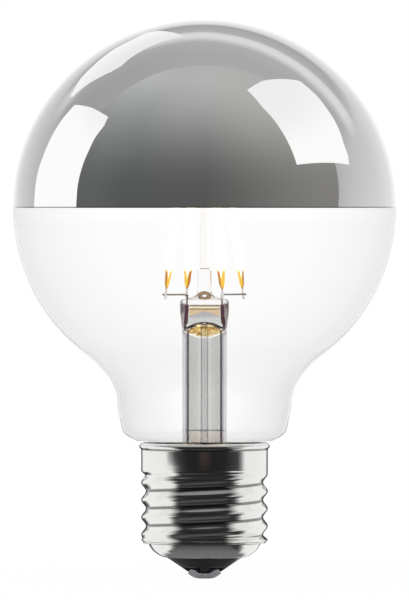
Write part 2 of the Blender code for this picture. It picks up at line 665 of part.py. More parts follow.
def make_lead_in(parts, side, name, outer_filament, depth_filament):
    """One lead-in wire in its three lengths, and the branch that feeds the second filament."""
    x = side * LEAD_SPACING / 2
    seal_bottom = STEM_CAVITY_TOP
    seal_top = seal_bottom + SEAL_LENGTH
    board_face = BOARD_SETBACK - FIT - OUTER_LEAD_DIAMETER / 2
    pad = board_top() - OUTER_LEAD_DIAMETER
    elbow = (x, 0.0, pad + FIT)
    outer = bent((x, 0.0, seal_bottom), elbow, (x, BOARD_SETBACK, pad + FIT), WIRE_BEND)
    outer = [Vector((x, 0.0, seal_bottom - FIT))] + outer + [Vector((x, board_face, pad + FIT))]
    wire(f"outer_lead_{name}", outer, OUTER_LEAD_DIAMETER, COPPER, parts)

    seal = (x, 0.0, (seal_bottom + seal_top) / 2)
    cylinder(f"seal_wire_{name}", SEAL_DIAMETER, SEAL_LENGTH, SEAL_METAL, parts, seal)

    foot = filament_foot(outer_filament)
    start = Vector((x, 0.0))
    along = (foot - start).normalized()
    beside = Vector((along.y, -along.x))
    aside = math.hypot(TAB_WIDTH, TAB_THICKNESS) / 2 + INNER_LEAD_DIAMETER / 2 + FIT
    end = foot + beside * aside + along * BRANCH_OVERHANG
    corner = (x, 0.0, BRANCH_HEIGHT)
    tip = (end.x, end.y, BRANCH_HEIGHT)
    inner = bent((x, 0.0, seal_top), corner, tip, BRANCH_BEND)
    inner = [Vector((x, 0.0, seal_top + FIT))] + inner + [Vector(tip)]
    wire(f"inner_lead_{name}", inner, INNER_LEAD_DIAMETER, NICKEL_WIRE, parts)

    far_foot = filament_foot(depth_filament)
    inward = Vector((far_foot.x - x, far_foot.y)).normalized()
    near = Vector((x, 0.0)) + inward * (INNER_LEAD_DIAMETER / 2 + FIT)
    far = far_foot - inward * (TAB_THICKNESS + FIT)
    height = BRANCH_HEIGHT - BRANCH_STEP
    branch = [(near.x, near.y, height), (far.x, far.y, height)]
    wire(f"branch_wire_{name}", branch, BRANCH_DIAMETER, NICKEL_WIRE, parts)


def filament_outline():
    """A filament's coating from its upper tip to its lower one, both drawn in over the taper."""
    tip = FILAMENT_TIP_WIDTH / 2
    wide = FILAMENT_WIDTH / 2
    base = FILAMENT_LENGTH - FILAMENT_TAPER
    upper = bezier(
        (tip, FILAMENT_LENGTH),
        (FILAMENT_TIP_PULL_WIDTH / 2, FILAMENT_LENGTH - FILAMENT_TIP_PULL),
        (FILAMENT_SIDE_PULL_WIDTH / 2, base + FILAMENT_SIDE_PULL),
        (wide, base),
        CURVE_ROWS - 1,
    )
    upper = [(tip, FILAMENT_LENGTH)] + upper
    lower = [(radius, FILAMENT_LENGTH - height) for radius, height in reversed(upper)]
    return [(0.0, FILAMENT_LENGTH)] + upper + lower + [(0.0, 0.0)]


def make_filament(parts, index, name):
    """One filament with the metal tab at each end, on an empty that leans in towards the button."""
    foot = filament_foot(index)
    seat = bpy.data.objects.new(f"{name}_seat", None)
    seat.location = (foot.x, foot.y, FILAMENT_BOTTOM)
    seat.rotation_euler = (0.0, -FILAMENT_LEAN, filament_angle(index))
    parts.objects.link(seat)

    strip = turned(name, filament_outline(), PHOSPHOR, parts, SMALL_SIDES)
    for vertex in strip.data.vertices:
        vertex.co.x *= FILAMENT_THICKNESS / FILAMENT_WIDTH
    tab_size = (TAB_THICKNESS, TAB_WIDTH)
    low = -FIT - LOWER_TAB_LENGTH / 2
    high = FILAMENT_LENGTH + FIT + UPPER_TAB_LENGTH / 2
    pieces = [
        strip,
        block(f"{name}_lower_tab", (*tab_size, LOWER_TAB_LENGTH), NICKEL_WIRE, parts, (0, 0, low)),
        block(f"{name}_upper_tab", (*tab_size, UPPER_TAB_LENGTH), NICKEL_WIRE, parts, (0, 0, high)),
    ]
    for piece in pieces:
        piece.parent = seat


def make_link_wire(parts, index, height):
    """A wire through the button that joins the upper tabs of two opposite filaments."""
    angle = filament_angle(index)
    tab = FILAMENT_FOOT_RADIUS - (height - FILAMENT_BOTTOM) * math.tan(FILAMENT_LEAN)
    half = tab - TAB_THICKNESS / 2 / math.cos(FILAMENT_LEAN) - FIT
    ends = [Matrix.Rotation(angle, 3, "Z") @ Vector((side * half, 0.0, height)) for side in (-1, 1)]
    wire(f"link_wire_{index + 1}", ends, LINK_DIAMETER, NICKEL_WIRE, parts)


# Driver

def board_bottom():
    return LIP_HEIGHT + FIT


def board_top():
    return board_bottom() + BOARD_HEIGHT


def make_driver(parts):
    """The driver board, upright on the insulator, with its parts on both faces."""
    middle = (board_bottom() + board_top()) / 2
    front = BOARD_SETBACK
    rear = BOARD_SETBACK + BOARD_THICKNESS
    board = (BOARD_WIDTH, BOARD_THICKNESS, BOARD_HEIGHT)
    block("driver_board", board, BOARD_GREEN, parts, (0, (front + rear) / 2, middle))

    make_capacitor(parts, (-PART_SPACING, rear + FIT + CAPACITOR_DIAMETER / 2, board_bottom()))
    make_choke(parts, (PART_SPACING, front - FIT - CHOKE_DIAMETER / 2, board_bottom()))
    chip = (PART_SPACING, rear + FIT + CHIP_SIZE.y / 2, middle)
    block("driver_chip", CHIP_SIZE, BLACK_RESIN, parts, chip, bevel=FIT)
    above = board_top() - RECTIFIER_SIZE.z
    rectifier = (-PART_SPACING, front - FIT - RECTIFIER_SIZE.y / 2, above)
    block("bridge_rectifier", RECTIFIER_SIZE, BLACK_RESIN, parts, rectifier, bevel=FIT)
    make_resistor(parts, (-PART_SPACING, front - FIT - RESISTOR_DIAMETER / 2, board_bottom()))


def make_capacitor(parts, place):
    """An electrolytic can, with the crimp above its rubber seal."""
    radius = CAPACITOR_DIAMETER / 2
    crimp = (CAPACITOR_CRIMP_DIAMETER / 2, CAPACITOR_CRIMP_HEIGHT)
    half = radius - crimp[0]
    outline = [(0.0, CAPACITOR_LENGTH), (radius - FIT, CAPACITOR_LENGTH)]
    outline += [(radius, CAPACITOR_LENGTH - FIT), (radius, crimp[1] + half), crimp]
    outline += [(radius, crimp[1] - half), (radius, 0.0), (0.0, 0.0)]
    turned("smoothing_capacitor", outline, CAPACITOR_CAN, parts, SMALL_SIDES, location=place)


def make_choke(parts, place):
    """A drum core, with its winding as a ring between the flanges."""
    radius = CHOKE_DIAMETER / 2
    core = CHOKE_CORE_DIAMETER / 2
    upper = CHOKE_LENGTH - CHOKE_FLANGE
    outline = [(0.0, CHOKE_LENGTH), (radius, CHOKE_LENGTH), (radius, upper), (core, upper)]
    outline += [(core, CHOKE_FLANGE), (radius, CHOKE_FLANGE), (radius, 0.0), (0.0, 0.0)]
    turned("choke_core", outline, FERRITE, parts, SMALL_SIDES, location=place)
    inside = core + FIT
    outside = radius - FIT
    ring = [(outside, upper - FIT), (outside, CHOKE_FLANGE + FIT)]
    ring += [(inside, CHOKE_FLANGE + FIT), (inside, upper - FIT)]
    turned("choke_winding", ring, COPPER, parts, SMALL_SIDES, closed=True, location=place)


def make_resistor(parts, place):
    """The fusible resistor, lying along the foot of the board."""
    radius = RESISTOR_DIAMETER / 2
    half = RESISTOR_LENGTH / 2
    end = RESISTOR_END_DIAMETER / 2
    waist = RESISTOR_WAIST_DIAMETER / 2
    cap = half - RESISTOR_CAP_LENGTH
    upper = [(0.0, half), (end, half), (radius, half - RESISTOR_CAP_ROUNDING), (radius, cap)]
    upper.append((waist, cap - RESISTOR_CAP_ROUNDING))
    outline = upper + [(across, -along) for across, along in reversed(upper)]
    x, y, z = place
    resistor = turned("fusible_resistor", outline, RESISTOR_COAT, parts, SMALL_SIDES)
    resistor.location = (x, y, z + radius)
    resistor.rotation_euler.y = math.pi / 2


def make_cap_wires(parts):
    """The wires from the board to the centre contact and to the shell."""
    radius = OUTER_LEAD_DIAMETER / 2
    face = BOARD_SETBACK - FIT - radius
    turn = (0.0, 0.0, LIP_HEIGHT + CONTACT_PAD_RISE)
    pad = (0.0, face, LIP_HEIGHT + CONTACT_PAD_RISE)
    bottom = (0.0, 0.0, CONTACT_FLOOR + FIT)
    path = [Vector(pad)] + bent(pad, turn, bottom, WIRE_BEND) + [Vector(bottom)]
    wire("contact_wire", path, OUTER_LEAD_DIAMETER, COPPER, parts)

    edge = -(BOARD_WIDTH / 2 + FIT + radius)
    wall = -(ROOT_RADIUS - SHELL_WALL - FIT - radius)
    depth = BOARD_SETBACK + BOARD_THICKNESS / 2
    middle = (board_bottom() + board_top()) / 2
    pad = (edge, depth, middle)
    turn = (wall, 0.0, middle + SHELL_WIRE_RISE)
    top = (wall, 0.0, turn[2] + SHELL_WIRE_LENGTH)
    path = [Vector(pad)] + bent(pad, turn, top, WIRE_BEND) + [Vector(top)]
    wire("shell_wire", path, OUTER_LEAD_DIAMETER, COPPER, parts)


clear_scene()
PARTS = new_collection("led_bulb")
CUTTERS = new_collection("led_bulb_cutters")

SIDES = ((-1, "left"), (1, "right"))
FILAMENT_NAMES = ("filament_right", "filament_rear", "filament_left", "filament_front")

CLEAR_GLASS = finish(
    "clear glass", (0.95, 0.97, 0.97), 0.02, Transmission_Weight=1.0, IOR=1.5
)
SILVER_MIRROR = finish("silver mirror film", (0.78, 0.78, 0.77), 0.04, 1.0)
NICKEL = finish("nickel-plated shell", (0.62, 0.6, 0.57), 0.16, 1.0)
CEMENT = finish("cap cement", (0.55, 0.5, 0.42), 0.9)
BLACK_GLASS = finish("black glass insulator", (0.01, 0.01, 0.012), 0.12)
CONTACT_METAL = finish("grey contact metal", (0.4, 0.41, 0.43), 0.35, 1.0)
PHOSPHOR = finish(
    "glowing phosphor coat",
    (1.0, 0.72, 0.25),
    0.5,
    Emission_Color=(1.0, 0.85, 0.6, 1.0),
    Emission_Strength=1.0,
)
NICKEL_WIRE = finish("nickel wire", (0.45, 0.43, 0.4), 0.3, 1.0)
SEAL_METAL = finish("oxidised seal wire", (0.32, 0.08, 0.09), 0.4, 1.0)
COPPER = finish("tinned copper wire", (0.7, 0.45, 0.33), 0.3, 1.0)
BOARD_GREEN = finish("circuit board", (0.05, 0.22, 0.1), 0.5)
BLACK_RESIN = finish("black resin", (0.02, 0.02, 0.02), 0.4)
CAPACITOR_CAN = finish("capacitor sleeve", (0.03, 0.04, 0.1), 0.35)
FERRITE = finish("ferrite", (0.08, 0.08, 0.085), 0.6)
RESISTOR_COAT = finish("resistor coat", (0.1, 0.3, 0.35), 0.45)

make_glass_envelope(PARTS)
make_mirror(PARTS)
make_screw_shell(PARTS)
make_cement(PARTS)
make_insulator(PARTS)
make_contact(PARTS, CUTTERS)
make_stem(PARTS, CUTTERS)
make_exhaust_tube(PARTS)
make_support_rod(PARTS, CUTTERS)
make_lead_in(PARTS, -1, "left", 2, 1)
make_lead_in(PARTS, 1, "right", 0, 3)
for number, filament_name in enumerate(FILAMENT_NAMES):
    make_filament(PARTS, number, filament_name)
for number, link_height in enumerate(link_heights()):
    make_link_wire(PARTS, number, link_height)
make_driver(PARTS)
make_cap_wires(PARTS)
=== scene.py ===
"""Looks of the crown-mirrored LED filament lamp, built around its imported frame.

Metres, +Z up, cap down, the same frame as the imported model. Outlines are (radius, height) points.
"""

import math

import bmesh
import bpy
from mathutils import Matrix, Vector


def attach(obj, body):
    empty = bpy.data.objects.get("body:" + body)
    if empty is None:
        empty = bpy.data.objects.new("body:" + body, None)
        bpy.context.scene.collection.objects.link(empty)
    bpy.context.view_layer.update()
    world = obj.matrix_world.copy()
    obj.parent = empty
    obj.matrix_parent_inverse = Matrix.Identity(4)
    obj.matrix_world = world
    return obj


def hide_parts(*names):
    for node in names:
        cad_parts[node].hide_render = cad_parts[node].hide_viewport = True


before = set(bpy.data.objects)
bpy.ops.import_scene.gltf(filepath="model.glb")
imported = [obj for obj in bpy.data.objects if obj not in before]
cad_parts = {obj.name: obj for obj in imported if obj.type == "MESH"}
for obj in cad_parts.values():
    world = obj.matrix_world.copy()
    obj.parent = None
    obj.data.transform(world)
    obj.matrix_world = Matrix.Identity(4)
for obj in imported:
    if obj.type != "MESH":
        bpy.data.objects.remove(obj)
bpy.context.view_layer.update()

MM = 0.001

# Sizes of the lamp, as in its source
FIT = 0.3 * MM
GLOBE_RADIUS = 40.0 * MM
GLOBE_HALF_HEIGHT = 39.1 * MM
EQUATOR_RISE = 49.15 * MM
GLASS_WALL = 0.8 * MM
THROAT_ANGLE = math.radians(52.0)
THROAT_UPPER_PULL = 4.0 * MM
THROAT_LOWER_PULL = 3.6 * MM
NECK_RADIUS = 18.2 * MM
NECK_RISE = 8.65 * MM
NECK_FOOT_RADIUS = 17.1 * MM
NECK_FOOT_RISE = 2.6 * MM
NECK_FOOT_SLOPE = 0.25
SEAT_WIDTH = 0.9 * MM
TAIL_LENGTH = 5.0 * MM
MIRROR_EDGE_RISE = -0.1 * MM
MIRROR_THICKNESS = 0.2 * MM

CREST_RADIUS = 13.225 * MM
ROOT_RADIUS = 12.25 * MM
THREAD_PITCH = 25.4 * MM / 7
THREAD_LENGTH = 15.2 * MM
THREAD_RUN_OUT = 1.3 * MM
THREAD_CREST_RISE = 7.2 * MM
SHELL_WALL = 0.3 * MM
SKIRT_LENGTH = 4.45 * MM
RIM_RADIUS = 13.65 * MM
RIM_BEAD_RADIUS = 0.65 * MM
LIP_RADIUS = 12.85 * MM
LIP_THICKNESS = 0.35 * MM
SHOULDER_RADIUS = 11.75 * MM
SHOULDER_HEIGHT = 3.0 * MM
SHOULDER_SIDE_SLOPE = 0.4
SHOULDER_BASE_PULL = 0.375 * MM
MOUTH_RADIUS = 8.05 * MM

CONTACT_RADIUS = 3.7 * MM
CONTACT_HEIGHT = 1.94 * MM
CONTACT_WALL = 0.4 * MM
CONTACT_FLOOR = 1.1 * MM
CONTACT_KNEE_RADIUS = 3.35 * MM
CONTACT_KNEE_HEIGHT = 0.9 * MM
CONTACT_DISH_PULL = 0.6 * MM
CONTACT_DISH_DROP = 0.35 * MM
CONTACT_FLAT_RADIUS = 1.2 * MM
CONTACT_EARS = 4
CONE_HEIGHT = 2.3 * MM
CONE_TIP_RADIUS = 3.66 * MM
CONE_TIP_HEIGHT = 1.52 * MM
INSULATOR_BORE_RADIUS = 1.2 * MM

STEM_RADIUS = 4.65 * MM
STEM_WALL = 0.6 * MM
STEM_CAVITY_RISE = 25.05 * MM
STEM_CAVITY_DOME = 2.4 * MM
PRESS_RISE = 3.8 * MM
PRESS_DOME = 2.2 * MM
PRESS_WIDTH = 10.2 * MM
PRESS_THICKNESS = 5.0 * MM
PINCH_LENGTH = 6.0 * MM
FLARE_HEIGHT = 4.6 * MM
FLARE_PULL = 2.76 * MM
EXHAUST_RADIUS = 1.7 * MM
EXHAUST_TAIL = 2.6 * MM
EXHAUST_SETBACK = 0.8 * MM
ROD_STUB_RADIUS = 1.5 * MM
ROD_STUB_HEIGHT = 4.6 * MM
ROD_RADIUS = 0.85 * MM
ROD_NECK = 0.9 * MM
BUTTON_RADIUS = 1.9 * MM
BUTTON_HEIGHT = 4.8 * MM
BUTTON_RISE = 0.9 * MM

LEAD_SPACING = 7.0 * MM
SEAL_DIAMETER = 0.75 * MM
SEAL_LENGTH = 3.8 * MM
INNER_LEAD_DIAMETER = 0.5 * MM
BRANCH_DROP = 0.1 * MM
BRANCH_STEP = 0.2 * MM
BRANCH_BEND = 1.1 * MM
BRANCH_OVERHANG = 0.6 * MM
LINK_SPACING = 1.7 * MM

FILAMENT_COUNT = 4
FILAMENT_TURN = math.radians(24.8)
FILAMENT_LENGTH = 38.0 * MM
FILAMENT_WIDTH = 2.05 * MM
FILAMENT_THICKNESS = 1.5 * MM
FILAMENT_RISE = 0.8 * MM
FILAMENT_FOOT_RADIUS = 8.8 * MM
FILAMENT_HEAD_RADIUS = 3.7 * MM
TAB_THICKNESS = 0.3 * MM
LOWER_TAB_LENGTH = 1.9 * MM

# Heights and radii that follow
CONE_BASE = CONTACT_HEIGHT + CONE_HEIGHT
MOUTH_HEIGHT = CONE_BASE + FIT / 2
LIP_HEIGHT = MOUTH_HEIGHT + SHOULDER_HEIGHT
THREAD_TOP = LIP_HEIGHT + THREAD_LENGTH
SKIRT_TOP = THREAD_TOP + SKIRT_LENGTH
RIM_TOP = SKIRT_TOP + 2 * RIM_BEAD_RADIUS
SEAT_HEIGHT = RIM_TOP + FIT
EQUATOR_HEIGHT = RIM_TOP + EQUATOR_RISE
MIRROR_EDGE = EQUATOR_HEIGHT + MIRROR_EDGE_RISE
STEM_CAVITY_TOP = RIM_TOP + STEM_CAVITY_RISE
PINCH_BOTTOM = STEM_CAVITY_TOP - STEM_CAVITY_DOME - FIT
PRESS_EDGE = STEM_CAVITY_TOP + PRESS_RISE
PRESS_TOP = PRESS_EDGE + PRESS_DOME
BRANCH_HEIGHT = PRESS_TOP - BRANCH_DROP
FILAMENT_BOTTOM = PRESS_TOP + FILAMENT_RISE
FILAMENT_LEAN = math.asin((FILAMENT_FOOT_RADIUS - FILAMENT_HEAD_RADIUS) / FILAMENT_LENGTH)
RIM_EDGE_RADIUS = RIM_RADIUS - RIM_BEAD_RADIUS
TAIL_RADIUS = ROOT_RADIUS - 2 * FIT
FLARE_RADIUS = TAIL_RADIUS - GLASS_WALL - FIT
NECK_TOP = RIM_TOP + NECK_RISE
FLARE_LINE = RIM_TOP + 2.6 * MM  # where the flare starts to widen

# Smoothness
GLOBE_SIDES = 256
CAP_SIDES = 160
STEM_SIDES = 72
SMALL_SIDES = 40
CURVE_ROWS = 14
THREAD_ROWS = 22
EVEN = (1.0, 1.0, 1.0)  # a noise's stretch

# Forms drawn finer than in the source, or only here
EDGE_GAP = 0.04 * MM  # between the silvered crown and the clear glass below it
SEEN_WALL = 0.5 * MM  # of the clear glass
SEEN_FOOT_WALL = 0.06 * MM
SEEN_FOOT_PULL = 0.95 * MM
FOOT_FADE = (13.8 * MM, 14.7 * MM)  # the radii between which the glass fades over the cap's bead
SEEN_BORE = 0.75 * MM  # of the exhaust tube, its radius
SEEN_WIRE = 0.36 * MM
SEEN_TAB = 0.56 * MM
AMBER_EDGE_CURVE = 0.07  # how the lower edge of the painted amber reflection droops to the sides, in mm to the square mm
CRESCENT_RISE = -2.95  # of the painted pale highlight line at that edge over the hollow's end, in mm
PAINTED_FRONT = (-0.9 * MM, -1.5 * MM)  # between these depths the painted refraction on the press comes in
BORE_FADE = (1.3 * MM, 1.1 * MM)  # the radii between which the exhaust tube's bore shows
VENT_RADIUS = 0.94 * MM
VENT_LIP = 0.48 * MM
VENT_SQUASH = 0.72
VENT_SETBACK = 1.1 * MM

# Camera and studio
VIEW_HEIGHT = 125.34 * MM
VIEW_MIDDLE = 58.14 * MM
CAMERA_HEIGHT = 77.5 * MM
CAMERA_DISTANCE = 1.75
FLOOR_LIFT = 0.97
STUDIO_RADIUS = 3.0
STUDIO_CENTRE = Vector((0.0, 0.0, 80.0 * MM))
WALL_DARK = 0.1
WALL_TOP = 0.48
COLLAR_RADIUS = 70.0 * MM
COLLAR_TOP = 74.0 * MM
COLLAR_BACK_TOP = 29.0 * MM
COLLAR_BACK_TURN = 150.0 / 180.0  # from there on it is low, as a share of the half turn
BRIM_RADIUS = 14.4 * MM
BRIM_HEIGHT = 28.9 * MM
BRIM_TURN = 0.5  # to both sides of the camera's direction, as a share of the half turn
FLAG_HEIGHT = 0.7 * MM
FLAG_SIDES = 144


# Shader wiring

class Value:
    """A socket that takes part in Python arithmetic: each operation adds its Math node."""

    def __init__(self, finish, socket):
        self.finish = finish
        self.socket = socket

    def math(self, operation, *others):
        places = dict(enumerate((self, *others)))
        return self.finish.node("ShaderNodeMath", {"operation": operation}, places)

    def __add__(self, other):
        return self.math("ADD", other)

    __radd__ = __add__

    def __sub__(self, other):
        return self.math("SUBTRACT", other)

    def __rsub__(self, other):
        return self.finish.node("ShaderNodeMath", {"operation": "SUBTRACT"}, {0: other, 1: self})

    def __mul__(self, other):
        return self.math("MULTIPLY", other)

    __rmul__ = __mul__

    def __truediv__(self, other):
        return self.math("DIVIDE", other)

    def __pow__(self, other):
        return self.math("POWER", other)

    def __abs__(self):
        return self.math("ABSOLUTE")

    def band(self, low, high):
        """0 below low and 1 above high, with a smooth step between, or the other way round."""
        settings = {"interpolation_type": "SMOOTHSTEP", "clamp": True}
        flip = low > high
        inputs = {
            "Value": self,
            "From Min": min(low, high),
            "From Max": max(low, high),
            "To Min": 1.0 if flip else 0.0,
            "To Max": 0.0 if flip else 1.0,
        }
        return self.finish.node("ShaderNodeMapRange", settings, inputs)

    def maximum(self, other):
        return self.math("MAXIMUM", other)

    def minimum(self, other):
        return self.math("MINIMUM", other)


class Finish:
    """A node tree being wired, of a material or of the world."""

    def __init__(self, owner):
        owner.use_nodes = True
        self.owner = owner
        self.tree = owner.node_tree
        self.tree.nodes.clear()

    def node(self, kind, settings=None, inputs=None, output=0):
        """Adds a node: its settings first, a ramp's stops among them, then its sockets' values or links."""
        node = self.tree.nodes.new(kind)
        for key, value in (settings or {}).items():
            if key == "stops":
                set_stops(node.color_ramp, value)
            else:
                setattr(node, key, value)
        for key, value in (inputs or {}).items():
            if isinstance(value, Value):
                self.tree.links.new(value.socket, node.inputs[key])
            else:
                node.inputs[key].default_value = value
        return Value(self, node.outputs[output]) if node.outputs else node

    def mix(self, factor, first, second):
        """A colour between two others."""
        settings = {"data_type": "RGBA", "clamp_factor": True}
        return self.node("ShaderNodeMix", settings, {0: factor, 6: rgba(first), 7: rgba(second)}, 2)

    def scaled(self, colour, factor):
        return self.node("ShaderNodeVectorMath", {"operation": "SCALE"}, {0: colour, "Scale": factor})

    def ramp(self, factor, stops):
        """A colour that follows its stops, as (place, colour) pairs."""
        return self.node("ShaderNodeValToRGB", {"stops": stops}, {"Fac": factor})

    def place(self):
        """The piece's own coordinates: the socket, and its three parts."""
        vector = self.node("ShaderNodeTexCoord", output="Object")
        return vector, *self.parts(vector)

    def parts(self, vector):
        split = self.node("ShaderNodeSeparateXYZ", inputs={0: vector}).socket.node
        return [Value(self, split.outputs[axis]) for axis in "XYZ"]

    def facing(self):
        """0 where the surface faces the eye, and 1 where it is seen edge on."""
        return self.node("ShaderNodeLayerWeight", inputs={"Blend": 0.5}, output="Facing")

    def noise(self, vector, scale, detail=3.0, stretch=EVEN):
        """Cloudy noise, with its scale in marks to the metre."""
        if stretch != EVEN:
            settings = {"operation": "MULTIPLY"}
            vector = self.node("ShaderNodeVectorMath", settings, {0: vector, 1: stretch})
        return self.node("ShaderNodeTexNoise", inputs={"Vector": vector, "Scale": scale, "Detail": detail})

    def bump(self, height, distance):
        inputs = {"Height": height, "Distance": distance, "Strength": 1.0}
        return self.node("ShaderNodeBump", inputs=inputs)

    def surface(self, **inputs):
        """The Principled shader that ends a material. An input's name is written with underscores."""
        named = {key.replace("_", " "): value for key, value in inputs.items()}
        shader = self.node("ShaderNodeBsdfPrincipled", inputs=named)
        return self.end(shader)

    def end(self, shader):
        kind = "World" if isinstance(self.owner, bpy.types.World) else "Material"
        self.node(f"ShaderNodeOutput{kind}", inputs={"Surface": shader})
        return self.owner


def set_stops(ramp, stops):
    for index, (place, colour) in enumerate(stops):
        stop = ramp.elements[index] if index < 2 else ramp.elements.new(place)
        stop.position = place
        stop.color = rgba(colour)


def rgba(colour):
    """A colour for a socket, from a grey or from red, green and blue. A linked value stays as it is."""
    if isinstance(colour, tuple):
        return (*colour, 1.0)
    return colour if isinstance(colour, Value) else (colour, colour, colour, 1.0)


def length(x, y):
    return (x * x + y * y) ** 0.5


def from_front(x, y):
    """How far round from the camera's direction, as a share of the half turn."""
    return abs(x.math("ARCTAN2", 0.0 - y)) / math.pi


def new_finish(name):
    return Finish(bpy.data.materials.new(name))


# Finishes

def globe_glass_finish():
    """Blown glass: clear face on, with a soft grey painted shade where the wall is seen edge on, more so in
    the neck.
    """
    finish = new_finish("blown_globe_glass")
    _, x, y, height = finish.place()
    facing = finish.facing()
    globe = finish.ramp(
        facing,
        [(0.0, 1.0), (0.15, 0.998), (0.24, 0.985), (0.36, 0.972), (0.55, 0.945), (0.66, 0.915), (0.9, 0.89)],
    )
    neck = finish.ramp(
        facing,
        [(0.0, 1.0), (0.05, 0.995), (0.15, 0.965), (0.3, 0.94), (0.45, 0.915), (0.55, 0.89), (0.8, 0.85)],
    )
    tint = finish.mix(height.band(NECK_TOP + 12.0 * MM, NECK_TOP), globe, neck)
    seen = length(x, y).band(*FOOT_FADE)
    return finish.surface(Base_Color=tint, Roughness=0.0, IOR=1.06, Transmission_Weight=1.0, Alpha=seen)


def stem_finish():
    """Grey leaded glass, lavender and darker towards its edges as painted refraction, clear in the press and
    rod, with a painted amber reflection of the filaments and a painted pale highlight at the hollow's end.
    """
    finish = new_finish("pressed_stem_glass")
    place = finish.place()
    vector, x, y, height = place
    facing = finish.facing()
    # lavender-grey and darker towards the edges: painted refraction of the surroundings
    grey = finish.ramp(
        facing,
        [
            (0.0, (0.81, 0.81, 0.80)), (0.06, (0.80, 0.80, 0.79)), (0.09, (0.735, 0.735, 0.715)),
            (0.28, (0.735, 0.735, 0.725)), (0.36, (0.71, 0.705, 0.74)), (0.6, (0.56, 0.555, 0.59)),
            (0.95, (0.54, 0.54, 0.57)),
        ],
    )
    joint = height.band(FLARE_LINE, FLARE_LINE - 0.6 * MM) * finish.noise(vector, 700.0, 2.0)
    grey = finish.mix(joint * 1.3 - 0.5, grey, (0.86, 0.66, 0.52))
    line = abs(height - FLARE_LINE).band(0.16 * MM, 0.06 * MM)
    grey = finish.mix(line * 0.7, grey, (0.25, 0.24, 0.24))
    clear = finish.ramp(
        facing,
        [
            (0.0, (0.98, 0.975, 0.965)), (0.3, (0.92, 0.90, 0.89)), (0.5, (0.62, 0.53, 0.48)),
            (0.75, (0.25, 0.16, 0.12)),
        ],
    )
    glass = finish.mix(height.band(STEM_CAVITY_TOP - 2.0 * MM, STEM_CAVITY_TOP), grey, clear)
    rod = finish.ramp(
        facing, [(0.0, (0.985, 0.975, 0.97)), (0.5, (0.975, 0.955, 0.945)), (0.9, (0.78, 0.68, 0.65))]
    )
    glass = finish.mix(height.band(PRESS_TOP, PRESS_TOP + 0.8 * MM), glass, rod)
    glass, dome = painted_press_light(finish, glass, place)
    share = height.band(PINCH_BOTTOM, PINCH_BOTTOM + PINCH_LENGTH)
    deep = y / (1.0 + share * (PRESS_THICKNESS / (2 * STEM_RADIUS) - 1))
    hollow = length(x, deep).band(STEM_RADIUS - STEM_WALL / 2, STEM_RADIUS - 0.9 * STEM_WALL)
    rise = (height - STEM_CAVITY_TOP) / MM - (x * x) * (AMBER_EDGE_CURVE / MM**2)
    # painted highlight: a pale line over the hollow's end
    crescent = abs(rise - CRESCENT_RISE).band(0.3, 0.2)
    glass = finish.mix(crescent, glass, (0.97, 0.96, 0.92))
    # painted reflection: the filaments' amber glow in the hollow's end, mottled
    amber_reflection = hollow * rise.band(CRESCENT_RISE + 0.1, CRESCENT_RISE + 0.25)
    amber_reflection = amber_reflection * height.band(STEM_CAVITY_TOP + 0.1 * MM, STEM_CAVITY_TOP + 0.05 * MM)
    amber = finish.ramp(
        finish.noise(vector, 1500.0, 3.0),
        [
            (0.36, (0.3, 0.12, 0.04)), (0.44, (0.9, 0.55, 0.14)), (0.54, (1.0, 0.8, 0.36)),
            (0.64, (1.0, 0.95, 0.8)),
        ],
    )
    tint = finish.mix(amber_reflection.maximum(dome * 0.85), glass, amber)
    return finish.surface(Base_Color=tint, Roughness=0.0, IOR=1.25, Transmission_Weight=1.0)


def painted_press_light(finish, glass, place):
    """Painted refraction on the front of the press: pale and amber lines of the filaments' light and dark
    lines over a grey valley, and dark sides with mottled painted highlights.

    Also the painted dark rim over the hollow's end, and how far a place lies within that rim, where the
    filaments' amber glow is painted. Marks are placed by their distance from the middle (aside) and their
    height over the press's edge (level), in mm.
    """
    vector, x, y, height = place
    aside = abs(x) / MM
    level = (height - PRESS_EDGE) / MM + 0.12 * (finish.noise(vector, 1100.0, 3.0) - 0.5)
    # painted refraction: pale and amber lines of the filaments' light, dark lines and a grey valley
    lines = finish.ramp(
        (level + 5.0) / 5.2,
        [
            (0.0, (0.50, 0.53, 0.50)), (0.4, (0.42, 0.46, 0.43)), (0.5, (0.27, 0.25, 0.27)),
            (0.68, (0.25, 0.23, 0.25)), (0.745, (0.5, 0.29, 0.11)), (0.76, (0.03, 0.016, 0.008)),
            (0.8, (0.035, 0.02, 0.01)), (0.825, (0.85, 0.58, 0.2)), (0.875, (0.98, 0.82, 0.5)),
            (0.892, (0.035, 0.02, 0.01)), (0.935, (0.06, 0.035, 0.02)), (0.97, (0.8, 0.78, 0.74)),
        ],
    )
    # painted refraction: a tan band over the valley
    tan = (level + 0.315 * aside).band(-1.42, -1.26) * level.band(-0.95, -1.1)
    lines = finish.mix(tan, lines, (0.52, 0.30, 0.115))
    on_front = y.band(*PAINTED_FRONT)
    between_wires = (aside - 0.5 * level.band(-2.0, -3.6)).band(3.3, 3.1)
    painted_heights = level.band(-4.9, -4.5) * level.band(0.25, 0.0)
    glass = finish.mix(on_front * between_wires * painted_heights, glass, lines)
    # painted shade at the press's sides, with mottled painted highlights
    wing = aside.band(3.8, 4.1) * level.band(-6.8, -5.2) * level.band(0.6, 0.0)
    mottle = finish.noise(vector, 900.0, 3.0, (1.0, 1.0, 0.4))
    mottled = finish.mix(mottle * 2.4 - 0.7, (0.015, 0.007, 0.008), (0.36, 0.27, 0.27))
    glass = finish.mix(wing, glass, mottled)
    up = (height - (STEM_CAVITY_TOP - 1.6 * MM)) / (1.55 * MM)
    ring = length(aside / 3.3, up) + 0.3 * aside.band(0.7, 0.1) * up.band(0.5, 0.8)
    # painted shade: a dark rim over the hollow's end
    rim = abs(ring - 0.97).band(0.24, 0.12) * up.band(0.1, 0.4) * on_front
    # painted reflection: where the filaments' amber glow shows within the rim
    dome = ring.band(0.9, 0.8) * up.band(-0.1, 0.1) * on_front
    return finish.mix(rim, glass, (0.03, 0.022, 0.015)), dome


